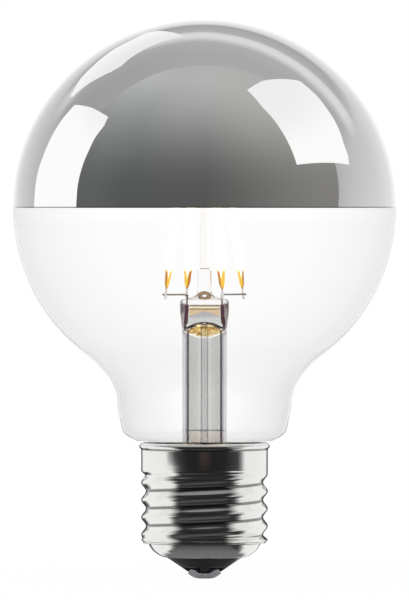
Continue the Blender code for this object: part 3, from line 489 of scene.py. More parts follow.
def clear_tube_finish():
    """The exhaust tube's glass, clearer than the stem's, with a grey bore between two dark lines."""
    finish = new_finish("exhaust_tube_glass")
    _, x, y, _ = finish.place()
    facing = finish.facing()
    wall = finish.ramp(facing, [(0.0, (0.99, 0.985, 0.985)), (1.0, (0.985, 0.985, 0.99))])
    bore = finish.ramp(
        facing,
        [
            (0.0, (0.82, 0.82, 0.825)), (0.3, (0.74, 0.74, 0.75)), (0.42, (0.3, 0.29, 0.31)),
            (0.7, (0.1, 0.1, 0.11)),
        ],
    )
    tint = finish.mix(length(x, y).band(*BORE_FADE), wall, bore)
    return finish.surface(Base_Color=tint, Roughness=0.0, IOR=1.2, Transmission_Weight=1.0)


def vent_finish():
    """The thick brown lip round the stem's vent."""
    finish = new_finish("vent_lip_glass")
    tint = finish.ramp(
        finish.facing(), [(0.0, (0.52, 0.38, 0.22)), (0.2, (0.27, 0.16, 0.08)), (0.5, (0.1, 0.06, 0.03))]
    )
    return finish.surface(Base_Color=tint, Roughness=0.0, IOR=1.45, Transmission_Weight=1.0)


def mirror_finish():
    """Silver film under glass: bright and even, with faint wiped streaks and a dark edge line."""
    finish = new_finish("silvered_crown")
    vector, _, _, height = finish.place()
    clouds = finish.noise(vector, 30.0, 4.0, (1.0, 1.0, 2.5))
    silver = finish.mix(clouds, (0.91, 0.915, 0.915), (0.94, 0.94, 0.935))
    edge = height.band(MIRROR_EDGE + 0.3 * MM, MIRROR_EDGE + 0.15 * MM)
    wiped = finish.noise(vector, 90.0, 3.0, (1.0, 1.0, 0.3))
    return finish.surface(
        Base_Color=finish.mix(edge, silver, (0.2, 0.2, 0.19)),
        Metallic=1.0,
        Roughness=0.012 + 0.014 * wiped,
        Coat_Weight=1.0,
        Coat_Roughness=0.0,
        Coat_IOR=1.5,
    )


def nickel_finish():
    """Bright nickel plate with fine draw lines, with painted shade in the roots and folds, dull inside the
    bead.
    """
    finish = new_finish("rolled_nickel_plate")
    vector, x, y, height = finish.place()
    radius = length(x, y)
    root = radius.band(ROOT_RADIUS + 0.12 * MM, ROOT_RADIUS + 0.02 * MM)
    on_thread = height.band(LIP_HEIGHT, LIP_HEIGHT + 0.5 * MM)
    on_thread = on_thread * height.band(THREAD_TOP + 0.2 * MM, THREAD_TOP - 0.8 * MM)
    fold = abs(height - SKIRT_TOP).band(0.3 * MM, 0.12 * MM)
    under_lip = abs(height - LIP_HEIGHT).band(0.16 * MM, 0.06 * MM)
    # painted shade: dark in the thread's roots, in the fold under the bead and just under the lip
    painted_shade = (root * on_thread).maximum(fold.maximum(under_lip))
    in_bead = radius.band(RIM_EDGE_RADIUS + 0.05 * MM, RIM_EDGE_RADIUS - 0.1 * MM)
    in_bead = in_bead * height.band(SKIRT_TOP, SKIRT_TOP + 0.2 * MM)
    lines = finish.noise(vector, 220.0, 4.0, (0.15, 0.15, 6.0))
    smudge = finish.noise(vector, 160.0, 3.0)
    plate = finish.mix(smudge, (0.80, 0.795, 0.78), (0.88, 0.875, 0.86))
    return finish.surface(
        Base_Color=finish.mix(painted_shade * 0.8, plate, (0.11, 0.10, 0.09)),
        Metallic=1.0,
        Roughness=0.07 + 0.06 * smudge + 0.6 * in_bead,
        Normal=finish.bump(lines, 0.004 * MM),
    )


def grained_finish(name, dark, light, scale, detail, roughness, spread, bump=0.0, stretch=EVEN, **others):
    """Two close colours in soft grains, duller where lighter."""
    finish = new_finish(name)
    grain = finish.noise(finish.place()[0], scale, detail, stretch)
    if bump:
        others["Normal"] = finish.bump(grain, bump)
    colour = finish.mix(grain, dark, light)
    return finish.surface(Base_Color=colour, Roughness=roughness + spread * grain, **others)


def black_glass_finish():
    dark, light = (0.006, 0.006, 0.008), (0.016, 0.016, 0.02)
    return grained_finish("black_cap_glass", dark, light, 500.0, 2.0, 0.12, 0.1, 0.03 * MM, IOR=1.4)


def contact_finish():
    """Dull tinned metal with a blotchy, lightly scratched face."""
    finish = new_finish("tinned_contact_metal")
    vector, *_ = finish.place()
    blotch = finish.noise(vector, 700.0, 4.0)
    scratch = finish.noise(vector, 2500.0, 2.0, (1.0, 0.2, 1.0))
    return finish.surface(
        Base_Color=finish.mix(blotch, (0.60, 0.61, 0.65), (0.80, 0.81, 0.84)),
        Metallic=0.75,
        Roughness=0.25 + 0.2 * blotch,
        Normal=finish.bump(scratch, 0.01 * MM),
    )


def wire_finish(name, dark, light, roughness=0.25, metallic=1.0):
    """Drawn wire with a patchy oxide."""
    stretch = (1.0, 1.0, 0.5)
    return grained_finish(name, dark, light, 1200.0, 3.0, roughness, 0.15, stretch=stretch, Metallic=metallic)


def plain_finish(name, dark, light, scale, roughness):
    """A finish of the parts inside the cap."""
    return grained_finish(name, dark, light, scale, 4.0, roughness, 0.1, 0.02 * MM)


def phosphor_finish(name, index, shaded_side):
    """Glowing coat: white along the strip, running out in a point between amber flanks at both ends, one
    flank darker orange as painted shade.
    """
    finish = new_finish(f"glowing_phosphor_{name}")
    vector, x, y, along = finish.place()
    from_tip = along.minimum(FILAMENT_LENGTH - along)
    turn = y.math("ARCTAN2", x * (FILAMENT_WIDTH / FILAMENT_THICKNESS))
    front = -math.pi / 2 - filament_angle(index)
    side = (turn - front).math("SINE")
    flank = abs(side)
    grain = finish.noise(vector, 2500.0, 2.0)
    border = (2.5 + 1.6 * flank.band(0.0, 0.5) + 0.3 * grain) * MM
    amber = (from_tip - border).band(0.7 * MM, -0.7 * MM)
    # painted shade: the amber flank on the chosen side is darker orange
    dark = (side * shaded_side).band(0.0, 0.45)
    warm = finish.mix(dark, (0.74, 0.48, 0.04), (0.36, 0.12, 0.006))
    warm = finish.mix(from_tip.band(1.1 * MM, 0.2 * MM), warm, (0.3, 0.13, 0.02))
    white = finish.mix(flank.band(0.6, 0.98), (1.0, 0.95, 0.86), (1.0, 0.84, 0.56))
    glow = finish.mix(amber, white, warm)
    return finish.surface(
        Base_Color=finish.mix(amber, (1.0, 0.86, 0.5), (0.24, 0.12, 0.02)),
        Roughness=0.45,
        Emission_Color=glow,
        Emission_Strength=1.0,
        Normal=finish.bump(grain, 0.03 * MM),
    )


def filament_angle(index):
    return FILAMENT_TURN + math.tau * index / FILAMENT_COUNT


# Outlines

def bezier(start, start_pull, end_pull, end, rows):
    """Points of a cubic curve after its start, up to and with its end."""
    points = []
    for row in range(1, rows + 1):
        t = row / rows
        s = 1 - t
        weights = (s**3, 3 * s * s * t, 3 * s * t * t, t**3)
        corners = (start, start_pull, end_pull, end)
        points.append(tuple(sum(w * p[k] for w, p in zip(weights, corners)) for k in (0, 1)))
    return points


def curve_on(outline, start_pull, end_pull, end, rows):
    """Adds a cubic curve to an outline, from its last point."""
    outline += bezier(outline[-1], start_pull, end_pull, end, rows)


def arc(centre, radius, start, end, rows, height=None):
    """Points of an arc with both its ends. Angles are in degrees above the radius direction."""
    height = radius if height is None else height
    angles = [math.radians(start + (end - start) * row / rows) for row in range(rows + 1)]
    return [(centre[0] + radius * math.cos(a), centre[1] + height * math.sin(a)) for a in angles]


def inside(outline, wall):
    """The outline moved inwards by the wall at each height, for one that runs down the outer side."""
    moved = []
    for index, (radius, height) in enumerate(outline):
        before = Vector(outline[max(index - 1, 0)])
        after = Vector(outline[min(index + 1, len(outline) - 1)])
        along = (after - before).normalized() * wall(height)
        moved.append((radius + along.y, height - along.x))
    return moved


def globe_point(angle, inset=0.0):
    """A point of the globe's outline, at an angle above the equator, moved in by the inset."""
    slope = Vector((math.cos(angle) / GLOBE_RADIUS, math.sin(angle) / GLOBE_HALF_HEIGHT))
    normal = slope.normalized()
    radius = GLOBE_RADIUS * math.cos(angle) - inset * normal.x
    height = GLOBE_HALF_HEIGHT * math.sin(angle) - inset * normal.y
    return radius, EQUATOR_HEIGHT + height


def glass_outline():
    """The clear glass from the mirror's edge, over the throat and neck, down into the cap."""
    edge = math.asin((MIRROR_EDGE_RISE - EDGE_GAP) / GLOBE_HALF_HEIGHT)
    rows = 4 * CURVE_ROWS
    outline = [globe_point(edge - (THROAT_ANGLE + edge) * row / rows) for row in range(rows + 1)]
    throat = outline[-1]
    down = Vector((-GLOBE_RADIUS * math.sin(THROAT_ANGLE), -GLOBE_HALF_HEIGHT * math.cos(THROAT_ANGLE)))
    pull = down.normalized() * THROAT_UPPER_PULL
    waist = (NECK_RADIUS, NECK_TOP)
    above_waist = (NECK_RADIUS, waist[1] + THROAT_LOWER_PULL)
    curve_on(outline, (throat[0] + pull.x, throat[1] + pull.y), above_waist, waist, CURVE_ROWS)
    foot = (NECK_FOOT_RADIUS, RIM_TOP + NECK_FOOT_RISE)
    third = (waist[1] - foot[1]) / 3
    above_foot = (foot[0] + NECK_FOOT_SLOPE * third, foot[1] + third)
    curve_on(outline, (NECK_RADIUS, waist[1] - third), above_foot, foot, CURVE_ROWS)
    seat = (RIM_EDGE_RADIUS + SEAT_WIDTH, SEAT_HEIGHT)
    below_foot = (foot[0] - NECK_FOOT_SLOPE * SEEN_FOOT_PULL, foot[1] - SEEN_FOOT_PULL)
    curve_on(outline, below_foot, (seat[0] + 1.3 * MM, SEAT_HEIGHT + 0.6 * MM), seat, CURVE_ROWS)
    tail_top = (TAIL_RADIUS, RIM_TOP - 2 * RIM_BEAD_RADIUS)
    curve_on(outline, (RIM_EDGE_RADIUS - FIT, SEAT_HEIGHT), (TAIL_RADIUS, SEAT_HEIGHT), tail_top, CURVE_ROWS)
    outline.append((TAIL_RADIUS, RIM_TOP - TAIL_LENGTH))
    return outline


# Meshes

def turned(outline, sides, loop=False, shape=None):
    """A mesh turned round the axis from an outline. Every point off the axis passes through the shape."""
    points, rings = [], []
    for radius, height in outline:
        if radius < 1e-9:
            rings.append([len(points)] * sides)
            points.append((0.0, 0.0, height))
            continue
        rings.append(range(len(points), len(points) + sides))
        for step in range(sides):
            angle = math.tau * step / sides
            at = (radius, height) if shape is None else shape(angle, radius, height)
            points.append((at[0] * math.cos(angle), at[0] * math.sin(angle), at[1]))
    pairs = list(zip(rings, rings[1:]))
    if loop:
        pairs.append((rings[-1], rings[0]))
    faces = []
    for upper, lower in pairs:
        for step in range(sides):
            after = (step + 1) % sides
            face = tuple(dict.fromkeys((upper[step], lower[step], lower[after], upper[after])))
            if len(face) > 2:
                faces.append(face)
    return closed_mesh(points, faces)


def closed_mesh(points, faces):
    mesh = bpy.data.meshes.new("form")
    mesh.from_pydata(points, [], faces)
    form = bmesh.new()
    form.from_mesh(mesh)
    bmesh.ops.recalc_face_normals(form, faces=form.faces)
    form.to_mesh(mesh)
    form.free()
    mesh.shade_smooth()
    mesh.set_sharp_from_angle(angle=math.radians(40.0))
    return mesh


def tube(points, diameter):
    """A round wire's mesh along its points."""
    curve = bpy.data.curves.new("route", "CURVE")
    curve.dimensions = "3D"
    curve.bevel_depth = diameter / 2
    curve.bevel_resolution = 4
    curve.use_fill_caps = True
    spline = curve.splines.new("POLY")
    spline.points.add(len(points) - 1)
    for point, place in zip(spline.points, points):
        point.co = (*place, 1.0)
    obj = bpy.data.objects.new("route", curve)
    mesh = bpy.data.meshes.new_from_object(obj)
    bpy.data.objects.remove(obj)
    mesh.shade_smooth()
    mesh.set_sharp_from_angle(angle=math.radians(50.0))
    return mesh


def bent(corner_before, corner, corner_after, bend, rows=10):
    """Points round a wire's corner, starting and ending at the bend's length from it."""
    corner = Vector(corner)
    start = corner + (Vector(corner_before) - corner).normalized() * bend
    end = corner + (Vector(corner_after) - corner).normalized() * bend
    turns = [row / rows for row in range(rows + 1)]
    return [(1 - t) ** 2 * start + 2 * t * (1 - t) * corner + t * t * end for t in turns]


def piece(name, mesh, finish, slot, *nodes, matrix=None):
    """One piece of the lamp, on its body, in place of the nodes it stands for."""
    mesh.name = name
    mesh.materials.clear()
    mesh.materials.append(finish)
    obj = bpy.data.objects.new(name, mesh)
    bpy.context.scene.collection.objects.link(obj)
    if matrix:
        obj.matrix_world = matrix
    bpy.context.view_layer.update()
    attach(obj, "root")
    if nodes:
        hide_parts(*nodes)
    return obj


# Glass and mirror

def make_globe():
    def wall(height):
        """Thinner at the foot, whose folds would else hide the stem's end."""
        share = smooth((height - RIM_TOP - 0.4 * MM) / (2.0 * MM))
        return SEEN_FOOT_WALL + (SEEN_WALL - SEEN_FOOT_WALL) * share

    outer = glass_outline()
    mesh = turned(outer + inside(outer, wall)[::-1], GLOBE_SIDES, loop=True)
    piece("globe_glass", mesh, globe_glass_finish(), "clear_glass", "glass_envelope")


def make_crown():
    """The silvered crown: its glass outside and its film inside, down to the straight edge."""
    rows = 5 * CURVE_ROWS
    outline = []
    for inset in (0.0, GLASS_WALL + FIT + MIRROR_THICKNESS):
        edge = math.asin(MIRROR_EDGE_RISE / (GLOBE_HALF_HEIGHT - inset))
        angles = [math.pi / 2 - (math.pi / 2 - edge) * row / rows for row in range(rows + 1)]
        side = [globe_point(angle, inset) for angle in angles]
        side[0] = (0.0, side[0][1])
        outline += side if inset == 0.0 else side[::-1]
    piece("crown", turned(outline, GLOBE_SIDES), mirror_finish(), "silver_mirror", "mirror_crown")


# Cap

def rolled(angle, radius, height):
    """The shell's wall drawn in where the thread is rolled."""
    if not LIP_HEIGHT + LIP_THICKNESS < height < THREAD_TOP:
        return radius, height
    crest = LIP_HEIGHT + THREAD_CREST_RISE + THREAD_PITCH * (angle / math.tau)
    wave = (1 - math.cos(math.tau * (height - crest) / THREAD_PITCH)) / 2
    to_end = min(height - LIP_HEIGHT - LIP_THICKNESS, THREAD_TOP - height)
    return radius - (CREST_RADIUS - ROOT_RADIUS) * wave * smooth(to_end / THREAD_RUN_OUT), height


def make_shell():
    bead = (RIM_EDGE_RADIUS, RIM_TOP - RIM_BEAD_RADIUS)
    outer = arc(bead, RIM_BEAD_RADIUS, 90, -48, 2 * CURVE_ROWS)
    below_fold = (CREST_RADIUS, outer[-1][1] - FIT)
    curve_on(outer, below_fold, (CREST_RADIUS, SKIRT_TOP), (CREST_RADIUS, SKIRT_TOP - FIT), 6)
    bottom = LIP_HEIGHT + LIP_THICKNESS
    rows = round(THREAD_LENGTH / THREAD_PITCH * THREAD_ROWS)
    outer += [(CREST_RADIUS, (SKIRT_TOP + THREAD_TOP) / 2), (CREST_RADIUS, THREAD_TOP + 0.2 * MM)]
    outer += [(CREST_RADIUS, THREAD_TOP - (THREAD_TOP - bottom) * row / rows) for row in range(rows)]
    lip = (LIP_RADIUS - LIP_THICKNESS / 2, LIP_HEIGHT + LIP_THICKNESS / 2)
    outer += arc(lip, LIP_THICKNESS / 2, 90, -80, 10)
    outer += [(SHOULDER_RADIUS + FIT, LIP_HEIGHT + 0.03 * MM), (SHOULDER_RADIUS, LIP_HEIGHT)]
    drop = SHOULDER_HEIGHT / 2
    side_pull = (SHOULDER_RADIUS - drop * SHOULDER_SIDE_SLOPE, LIP_HEIGHT - drop)
    base_pull = ((SHOULDER_RADIUS + MOUTH_RADIUS) / 2, MOUTH_HEIGHT + SHOULDER_BASE_PULL)
    curve_on(outer, side_pull, base_pull, (MOUTH_RADIUS, MOUTH_HEIGHT), 2 * CURVE_ROWS)
    inner = [(radius - SHELL_WALL, height) for radius, height in outer if bottom < height < SKIRT_TOP]
    base = bezier(
        (MOUTH_RADIUS, MOUTH_HEIGHT + SHELL_WALL),
        (base_pull[0] - FIT, base_pull[1] + SHELL_WALL),
        (side_pull[0] - FIT, side_pull[1] + FIT),
        (SHOULDER_RADIUS - SHELL_WALL, LIP_HEIGHT),
        2 * CURVE_ROWS,
    )
    bore = arc(bead, RIM_BEAD_RADIUS - SHELL_WALL, -30, 90, CURVE_ROWS)
    mesh = turned(outer + base + inner[::-1] + bore, CAP_SIDES, loop=True, shape=rolled)
    piece("rolled_shell", mesh, nickel_finish(), "nickel_shell", "screw_shell")


EAR_REACH = math.radians(28.0)  # of each ear of the contact, to both sides of its middle
EAR_SLOPE = (CONTACT_RADIUS - CONTACT_KNEE_RADIUS) / (CONTACT_HEIGHT - CONTACT_KNEE_HEIGHT)
EAR_ROOT = 1.16 * MM
POCKET_RADIUS = 3.4 * MM
POCKET_TOP = 2.4 * MM
POCKET_RIM = math.radians(5.0)


def from_ear(angle):
    """The turn from an angle to the middle of the nearest ear."""
    quarter = math.tau / CONTACT_EARS
    return abs(angle % quarter - quarter / 2)


def make_insulator():
    """The black cone, with a shallow pocket behind each ear of the contact."""
    def pocketed(angle, radius, height):
        beside = clamped((EAR_REACH + POCKET_RIM - from_ear(angle)) / POCKET_RIM)
        below = clamped((POCKET_TOP - height) / (0.35 * MM))
        if radius < POCKET_RADIUS or height > POCKET_TOP:
            return radius, height
        return radius - (radius - POCKET_RADIUS) * beside * below, height

    collar = MOUTH_RADIUS - FIT
    top = MOUTH_HEIGHT + SHELL_WALL + SHOULDER_BASE_PULL + FIT
    tip = (CONE_TIP_RADIUS, CONE_TIP_HEIGHT)
    nose = CONTACT_KNEE_RADIUS - CONTACT_WALL - FIT
    outline = [(INSULATOR_BORE_RADIUS, top), (collar, top), (collar, CONE_BASE + 0.1 * MM)]
    slope = (CONE_BASE - tip[1]) / (collar - tip[0])
    shoulder_pull = (collar - 0.2 * MM, CONE_BASE - 0.1 * MM)
    tip_pull = (tip[0] + 0.5 * MM, tip[1] + 0.5 * MM * (slope + 0.15))
    curve_on(outline, shoulder_pull, tip_pull, tip, 2 * CURVE_ROWS)
    outline += [(tip[0] - 0.1 * MM, tip[1] - 0.04 * MM), (nose + 0.2 * MM, tip[1] - 0.1 * MM)]
    outline += [(nose, CONTACT_FLOOR + FIT), (INSULATOR_BORE_RADIUS, CONTACT_FLOOR + FIT)]
    mesh = turned(outline, CAP_SIDES, loop=True, shape=pocketed)
    piece("black_cone", mesh, black_glass_finish(), "black_glass", "cap_insulator")


def make_contact():
    """The dished contact, whose rim stands up as round-topped ears."""
    def eared(angle, radius, height):
        if height <= EAR_ROOT:
            return radius, height
        share = 1 - min(from_ear(angle) / EAR_REACH, 1.0) ** 1.7
        lowered = EAR_ROOT + (height - EAR_ROOT) * share
        return radius - (height - lowered) * EAR_SLOPE, lowered

    knee = (CONTACT_KNEE_RADIUS, CONTACT_KNEE_HEIGHT)
    flat = (CONTACT_FLAT_RADIUS, 0.0)
    rim = (CONTACT_RADIUS - 0.08 * MM, CONTACT_HEIGHT)
    outline = [(0.0, CONTACT_FLOOR), (knee[0] - CONTACT_WALL, CONTACT_FLOOR)]
    inner_rim = (rim[0] - CONTACT_WALL / 2, rim[1])
    curve_on(outline, outline[-1], (rim[0] - CONTACT_WALL, 1.6 * MM), inner_rim, 6)
    outline += [rim, (CONTACT_RADIUS, CONTACT_HEIGHT - 0.08 * MM)]
    curve_on(outline, (CONTACT_RADIUS, 1.5 * MM), (knee[0] + 0.1 * MM, knee[1] + 0.25 * MM), knee, 8)
    knee_pull = (knee[0] - CONTACT_DISH_PULL, knee[1] - CONTACT_DISH_DROP)
    curve_on(outline, knee_pull, ((flat[0] + knee[0]) / 2, 0.0), flat, CURVE_ROWS)
    outline.append((0.0, 0.0))
    mesh = turned(outline, CAP_SIDES, shape=eared)
    piece("dished_contact", mesh, contact_finish(), "contact_metal", "centre_contact")


# Stem

def flatten_press(mesh):
    """Moves each point of the stem to the pressed section at its height. The rod stays round."""
    for vertex in mesh.vertices:
        share = smooth((vertex.co.z - PINCH_BOTTOM) / PINCH_LENGTH)
        if vertex.co.z > PRESS_EDGE:
            share *= smooth((math.hypot(vertex.co.x, vertex.co.y) - ROD_STUB_RADIUS) / ROD_STUB_RADIUS)
        vertex.co.x *= 1 + share * (PRESS_WIDTH / (2 * STEM_RADIUS) - 1)
        vertex.co.y *= 1 + share * (PRESS_THICKNESS / (2 * STEM_RADIUS) - 1)


def clamped(share):
    return min(max(share, 0.0), 1.0)


def smooth(share):
    share = clamped(share)
    return share * share * (3 - 2 * share)


def make_stem():
    """The stem with the rod fused to it: button, rod and stub, the pressed end, the tube and its flare."""
    button = FILAMENT_BOTTOM + FILAMENT_LENGTH * math.cos(FILAMENT_LEAN) + BUTTON_RISE + LINK_SPACING
    outline = arc((0.0, button), BUTTON_RADIUS, 90, -60, 2 * CURVE_ROWS, BUTTON_HEIGHT / 2)
    outline[0] = (0.0, button + BUTTON_HEIGHT / 2)
    stub_top = PRESS_TOP + ROD_STUB_HEIGHT
    outline += [(ROD_RADIUS, button - BUTTON_HEIGHT / 2 - ROD_NECK), (ROD_RADIUS, stub_top + ROD_NECK)]
    neck_middle = stub_top + ROD_NECK / 2
    stub = (ROD_STUB_RADIUS, stub_top)
    curve_on(outline, (ROD_RADIUS, neck_middle), (ROD_STUB_RADIUS, neck_middle), stub, 8)
    outline.append((ROD_STUB_RADIUS, PRESS_TOP + 0.7 * MM))
    hill = (2.3 * MM, PRESS_TOP - 0.55 * MM)
    valley = (3.5 * MM, PRESS_TOP - 1.1 * MM)
    edge = (STEM_RADIUS, PRESS_EDGE)
    curve_on(outline, (ROD_STUB_RADIUS, PRESS_TOP + 0.1 * MM), (1.7 * MM, PRESS_TOP - 0.25 * MM), hill, 8)
    curve_on(outline, (2.8 * MM, hill[1] - 0.3 * MM), (3.1 * MM, valley[1]), valley, 8)
    curve_on(outline, (4.2 * MM, valley[1] + 0.05 * MM), (STEM_RADIUS, PRESS_EDGE + 1.2 * MM), edge, 10)
    rows = 2 * CURVE_ROWS
    pinched = PRESS_EDGE - PINCH_BOTTOM
    outline += [(STEM_RADIUS, PRESS_EDGE - pinched * row / rows) for row in range(1, rows + 1)]
    waist = (STEM_RADIUS, RIM_TOP + FIT)
    lip = (FLARE_RADIUS, waist[1] - FLARE_HEIGHT)
    outline.append(waist)
    reach = (FLARE_RADIUS - STEM_RADIUS) / 2
    curve_on(outline, (STEM_RADIUS, waist[1] - FLARE_PULL), (lip[0] - reach, lip[1]), lip, CURVE_ROWS)
    bore = STEM_RADIUS - STEM_WALL
    inner_lip = (FLARE_RADIUS, lip[1] - STEM_WALL)
    inner_waist = (bore, waist[1] - STEM_WALL)
    outline.append(inner_lip)
    inner_pull = (bore, inner_waist[1] - FLARE_PULL)
    curve_on(outline, (inner_lip[0] - reach, inner_lip[1]), inner_pull, inner_waist, CURVE_ROWS)
    hollow = arc((0.0, STEM_CAVITY_TOP - STEM_CAVITY_DOME), bore, 0, 90, CURVE_ROWS, STEM_CAVITY_DOME)
    hollow[-1] = (0.0, STEM_CAVITY_TOP)
    mesh = turned(outline + hollow, STEM_SIDES)
    flatten_press(mesh)
    piece("pressed_stem", mesh, stem_finish(), "stem_glass", "stem_press", "support_rod")


def make_exhaust_tube():
    top = STEM_CAVITY_TOP - EXHAUST_SETBACK
    tip = RIM_TOP - FLARE_HEIGHT - EXHAUST_TAIL
    middle = (0.0, tip + 2 * EXHAUST_RADIUS)
    outline = arc(middle, SEEN_BORE, -90, 0, CURVE_ROWS, 2 * SEEN_BORE)
    outline[0] = (0.0, middle[1] - 2 * SEEN_BORE)
    outline += [(SEEN_BORE, top), (EXHAUST_RADIUS, top)]
    outline += arc(middle, EXHAUST_RADIUS, 0, -90, CURVE_ROWS, 2 * EXHAUST_RADIUS)
    outline[-1] = (0.0, tip)
    mesh = turned(outline, SMALL_SIDES)
    piece("exhaust_bore_tube", mesh, clear_tube_finish(), "stem_glass", "exhaust_tube")


def make_vent_lip():
    """The thick lip round the vent that joins the exhaust tube to the globe, on the front of the press."""
    ring = arc((VENT_RADIUS, 0.0), VENT_LIP, 0, 360, 16)[:-1]
    mesh = turned(ring, STEM_SIDES, loop=True)
    tilt = Matrix.Rotation(math.radians(62.0), 4, "X") @ Matrix.Diagonal((1.0, VENT_SQUASH, 1.0, 1.0))
    mesh.transform(Matrix.Translation((0.0, -VENT_SETBACK, PRESS_TOP - 0.4 * MM)) @ tilt)
    piece("vent_lip", mesh, vent_finish(), "stem_glass")


# Wires and filaments

def filament_foot(index):
    angle = filament_angle(index)
    return Vector((math.cos(angle), math.sin(angle))) * FILAMENT_FOOT_RADIUS


def make_filament(index, name, shaded_side, wire):
    """One strip with drawn-in tips, on its lower tab."""
    half = FILAMENT_WIDTH / 2
    end = FILAMENT_LENGTH
    tip = [(0.0, 0.0), (0.08 * MM, 0.02 * MM), (0.12 * MM, 0.15 * MM)]
    curve_on(tip, (0.45 * MM, 0.9 * MM), (0.66 * MM, 1.2 * MM), (0.72 * MM, 2.6 * MM), CURVE_ROWS)
    curve_on(tip, (0.76 * MM, 3.6 * MM), (half, 4.4 * MM), (half, 5.6 * MM), CURVE_ROWS)
    outline = [(radius, end - depth) for radius, depth in tip] + [(half, end / 2)]
    outline += [(radius, depth) for radius, depth in reversed(tip)]
    mesh = turned(outline, SMALL_SIDES)
    for vertex in mesh.vertices:
        vertex.co.x *= FILAMENT_THICKNESS / FILAMENT_WIDTH
    foot = filament_foot(index)
    seat = Matrix.Translation((foot.x, foot.y, FILAMENT_BOTTOM))
    seat = seat @ Matrix.Rotation(filament_angle(index), 4, "Z") @ Matrix.Rotation(-FILAMENT_LEAN, 4, "Y")
    coat = phosphor_finish(name, index, shaded_side)
    piece(f"glowing_{name}", mesh, coat, "phosphor_coat", f"filament_{name}", matrix=seat)
    low = -LOWER_TAB_LENGTH
    across = SEEN_TAB / 2
    points = [(0.0, 0.1 * MM), (across * 0.7, 0.05 * MM), (across, low * 0.3), (across, low * 0.9)]
    tab = turned(points + [(across * 0.8, low), (0.0, low)], 24)
    piece(f"tab_{name}", tab, wire, "nickel_wire", f"filament_{name}_lower_tab", matrix=seat)


def make_lead_in(side, name, outer_filament, depth_filament, wire, seal_metal):
    x = side * LEAD_SPACING / 2
    seal_top = STEM_CAVITY_TOP + SEAL_LENGTH
    seal = [(x, 0.0, STEM_CAVITY_TOP - FIT), (x, 0.0, seal_top)]
    piece(f"sealed_wire_{name}", tube(seal, SEAL_DIAMETER), seal_metal, "seal_wire", f"seal_wire_{name}")
    foot = filament_foot(outer_filament)
    along = (foot - Vector((x, 0.0))).normalized()
    beside = Vector((along.y, -along.x))
    aside = SEEN_TAB / 2 + SEEN_WIRE / 2 - 0.05 * MM
    end = foot + beside * aside + along * BRANCH_OVERHANG
    corner = (x, 0.0, BRANCH_HEIGHT)
    tip = (end.x, end.y, BRANCH_HEIGHT)
    bend = bent((x, 0.0, seal_top), corner, tip, BRANCH_BEND)
    route = [Vector((x, 0.0, seal_top - FIT)), *bend, Vector(tip)]
    piece(f"bent_lead_{name}", tube(route, SEEN_WIRE), wire, "nickel_wire", f"inner_lead_{name}")
    far_foot = filament_foot(depth_filament)
    inward = Vector((far_foot.x - x, far_foot.y)).normalized()
    height = BRANCH_HEIGHT - BRANCH_STEP
    near = Vector((x, 0.0)) + inward * INNER_LEAD_DIAMETER / 2
    far = far_foot - inward * TAB_THICKNESS / 2
    branch = [(near.x, near.y, height), (far.x, far.y, height)]
    piece(f"side_branch_{name}", tube(branch, SEEN_WIRE), wire, "nickel_wire", f"branch_wire_{name}")


# The studio, which only reflections show

def stage_mesh(name, points, faces, finish):
    mesh = bpy.data.meshes.new(name)
    mesh.from_pydata(points, [], faces)
    mesh.materials.append(finish)
    obj = bpy.data.objects.new(name, mesh)
    bpy.context.scene.collection.objects.link(obj)
    return obj


def card(name, points, faces, finish):
    """A stage mesh that only reflections show."""
    finish.cycles.emission_sampling = "NONE"
    obj = stage_mesh(name, points, faces, finish)
    obj.visible_camera = obj.visible_diffuse = obj.visible_transmission = False
    obj.visible_volume_scatter = obj.visible_shadow = False
    return obj


def glow(finish, colour, strength=1.0):
    shader = finish.node("ShaderNodeEmission", inputs={"Color": rgba(colour), "Strength": strength})
    return finish.end(shader)


def studio_walls():
    """Walls of a round studio: dark behind the camera, light overhead, in soft rings behind the lamp."""
    finish = new_finish("studio_walls")
    vector, *_ = finish.place()
    x, y, z = finish.parts(finish.node("ShaderNodeVectorMath", {"operation": "NORMALIZE"}, {0: vector}))
    up = z.maximum(0.0)
    right = x.maximum(0.0)
    left = (0.0 - x).maximum(0.0)
    level = WALL_DARK + (WALL_TOP - WALL_DARK) * up**2.8
    to_right = (0.75 * right + 0.5 * right * right) * (1.0 - 0.85 * up**4.0)
    to_left = 0.75 * (y - up.maximum(0.5) + 1.13).maximum(0.0)
    to_left = to_left.minimum(0.21 + 0.2 * up * up) * left.band(0.1, 0.4)
    front = finish.mix(x * 0.5 + 0.5, (0.97, 1.0, 1.015), (1.02, 1.0, 0.96))
    front = finish.scaled(front, level * (1.0 + to_right + to_left))
    rings = finish.ramp(
        y + 0.2 * right,
        [
            (0.0, 0.43), (0.35, 0.42), (0.5, 0.44), (0.56, 0.46), (0.65, 0.74), (0.72, 0.72),
            (0.76, 0.46), (0.84, 0.42), (0.885, 0.38), (0.92, 0.68), (0.96, 0.84), (1.0, 1.0),
        ],
    )
    sides = finish.ramp(
        y, [(0.0, 0.5), (0.124, 0.56), (0.354, 0.62), (0.5, 0.655), (0.606, 0.665), (0.88, 0.785), (1.0, 1.0)]
    )
    back = finish.mix(z.band(0.36, 0.5), finish.scaled(sides, 1.0 - 0.3 * up), rings)
    back = finish.scaled(back, 1.0 - 0.22 * left)
    behind = (y - 0.2 * z).band(-0.06, -0.04)
    return glow(finish, finish.mix(behind, front, back))


def make_studio():
    mesh = bpy.data.meshes.new("studio")
    ball = bmesh.new()
    bmesh.ops.create_uvsphere(ball, u_segments=96, v_segments=48, radius=STUDIO_RADIUS)
    ball.to_mesh(mesh)
    ball.free()
    points = [tuple(v.co) for v in mesh.vertices]
    faces = [tuple(p.vertices) for p in mesh.polygons]
    walls = card("studio_walls", points, faces, studio_walls())
    walls.location = STUDIO_CENTRE
    walls.data.shade_smooth()


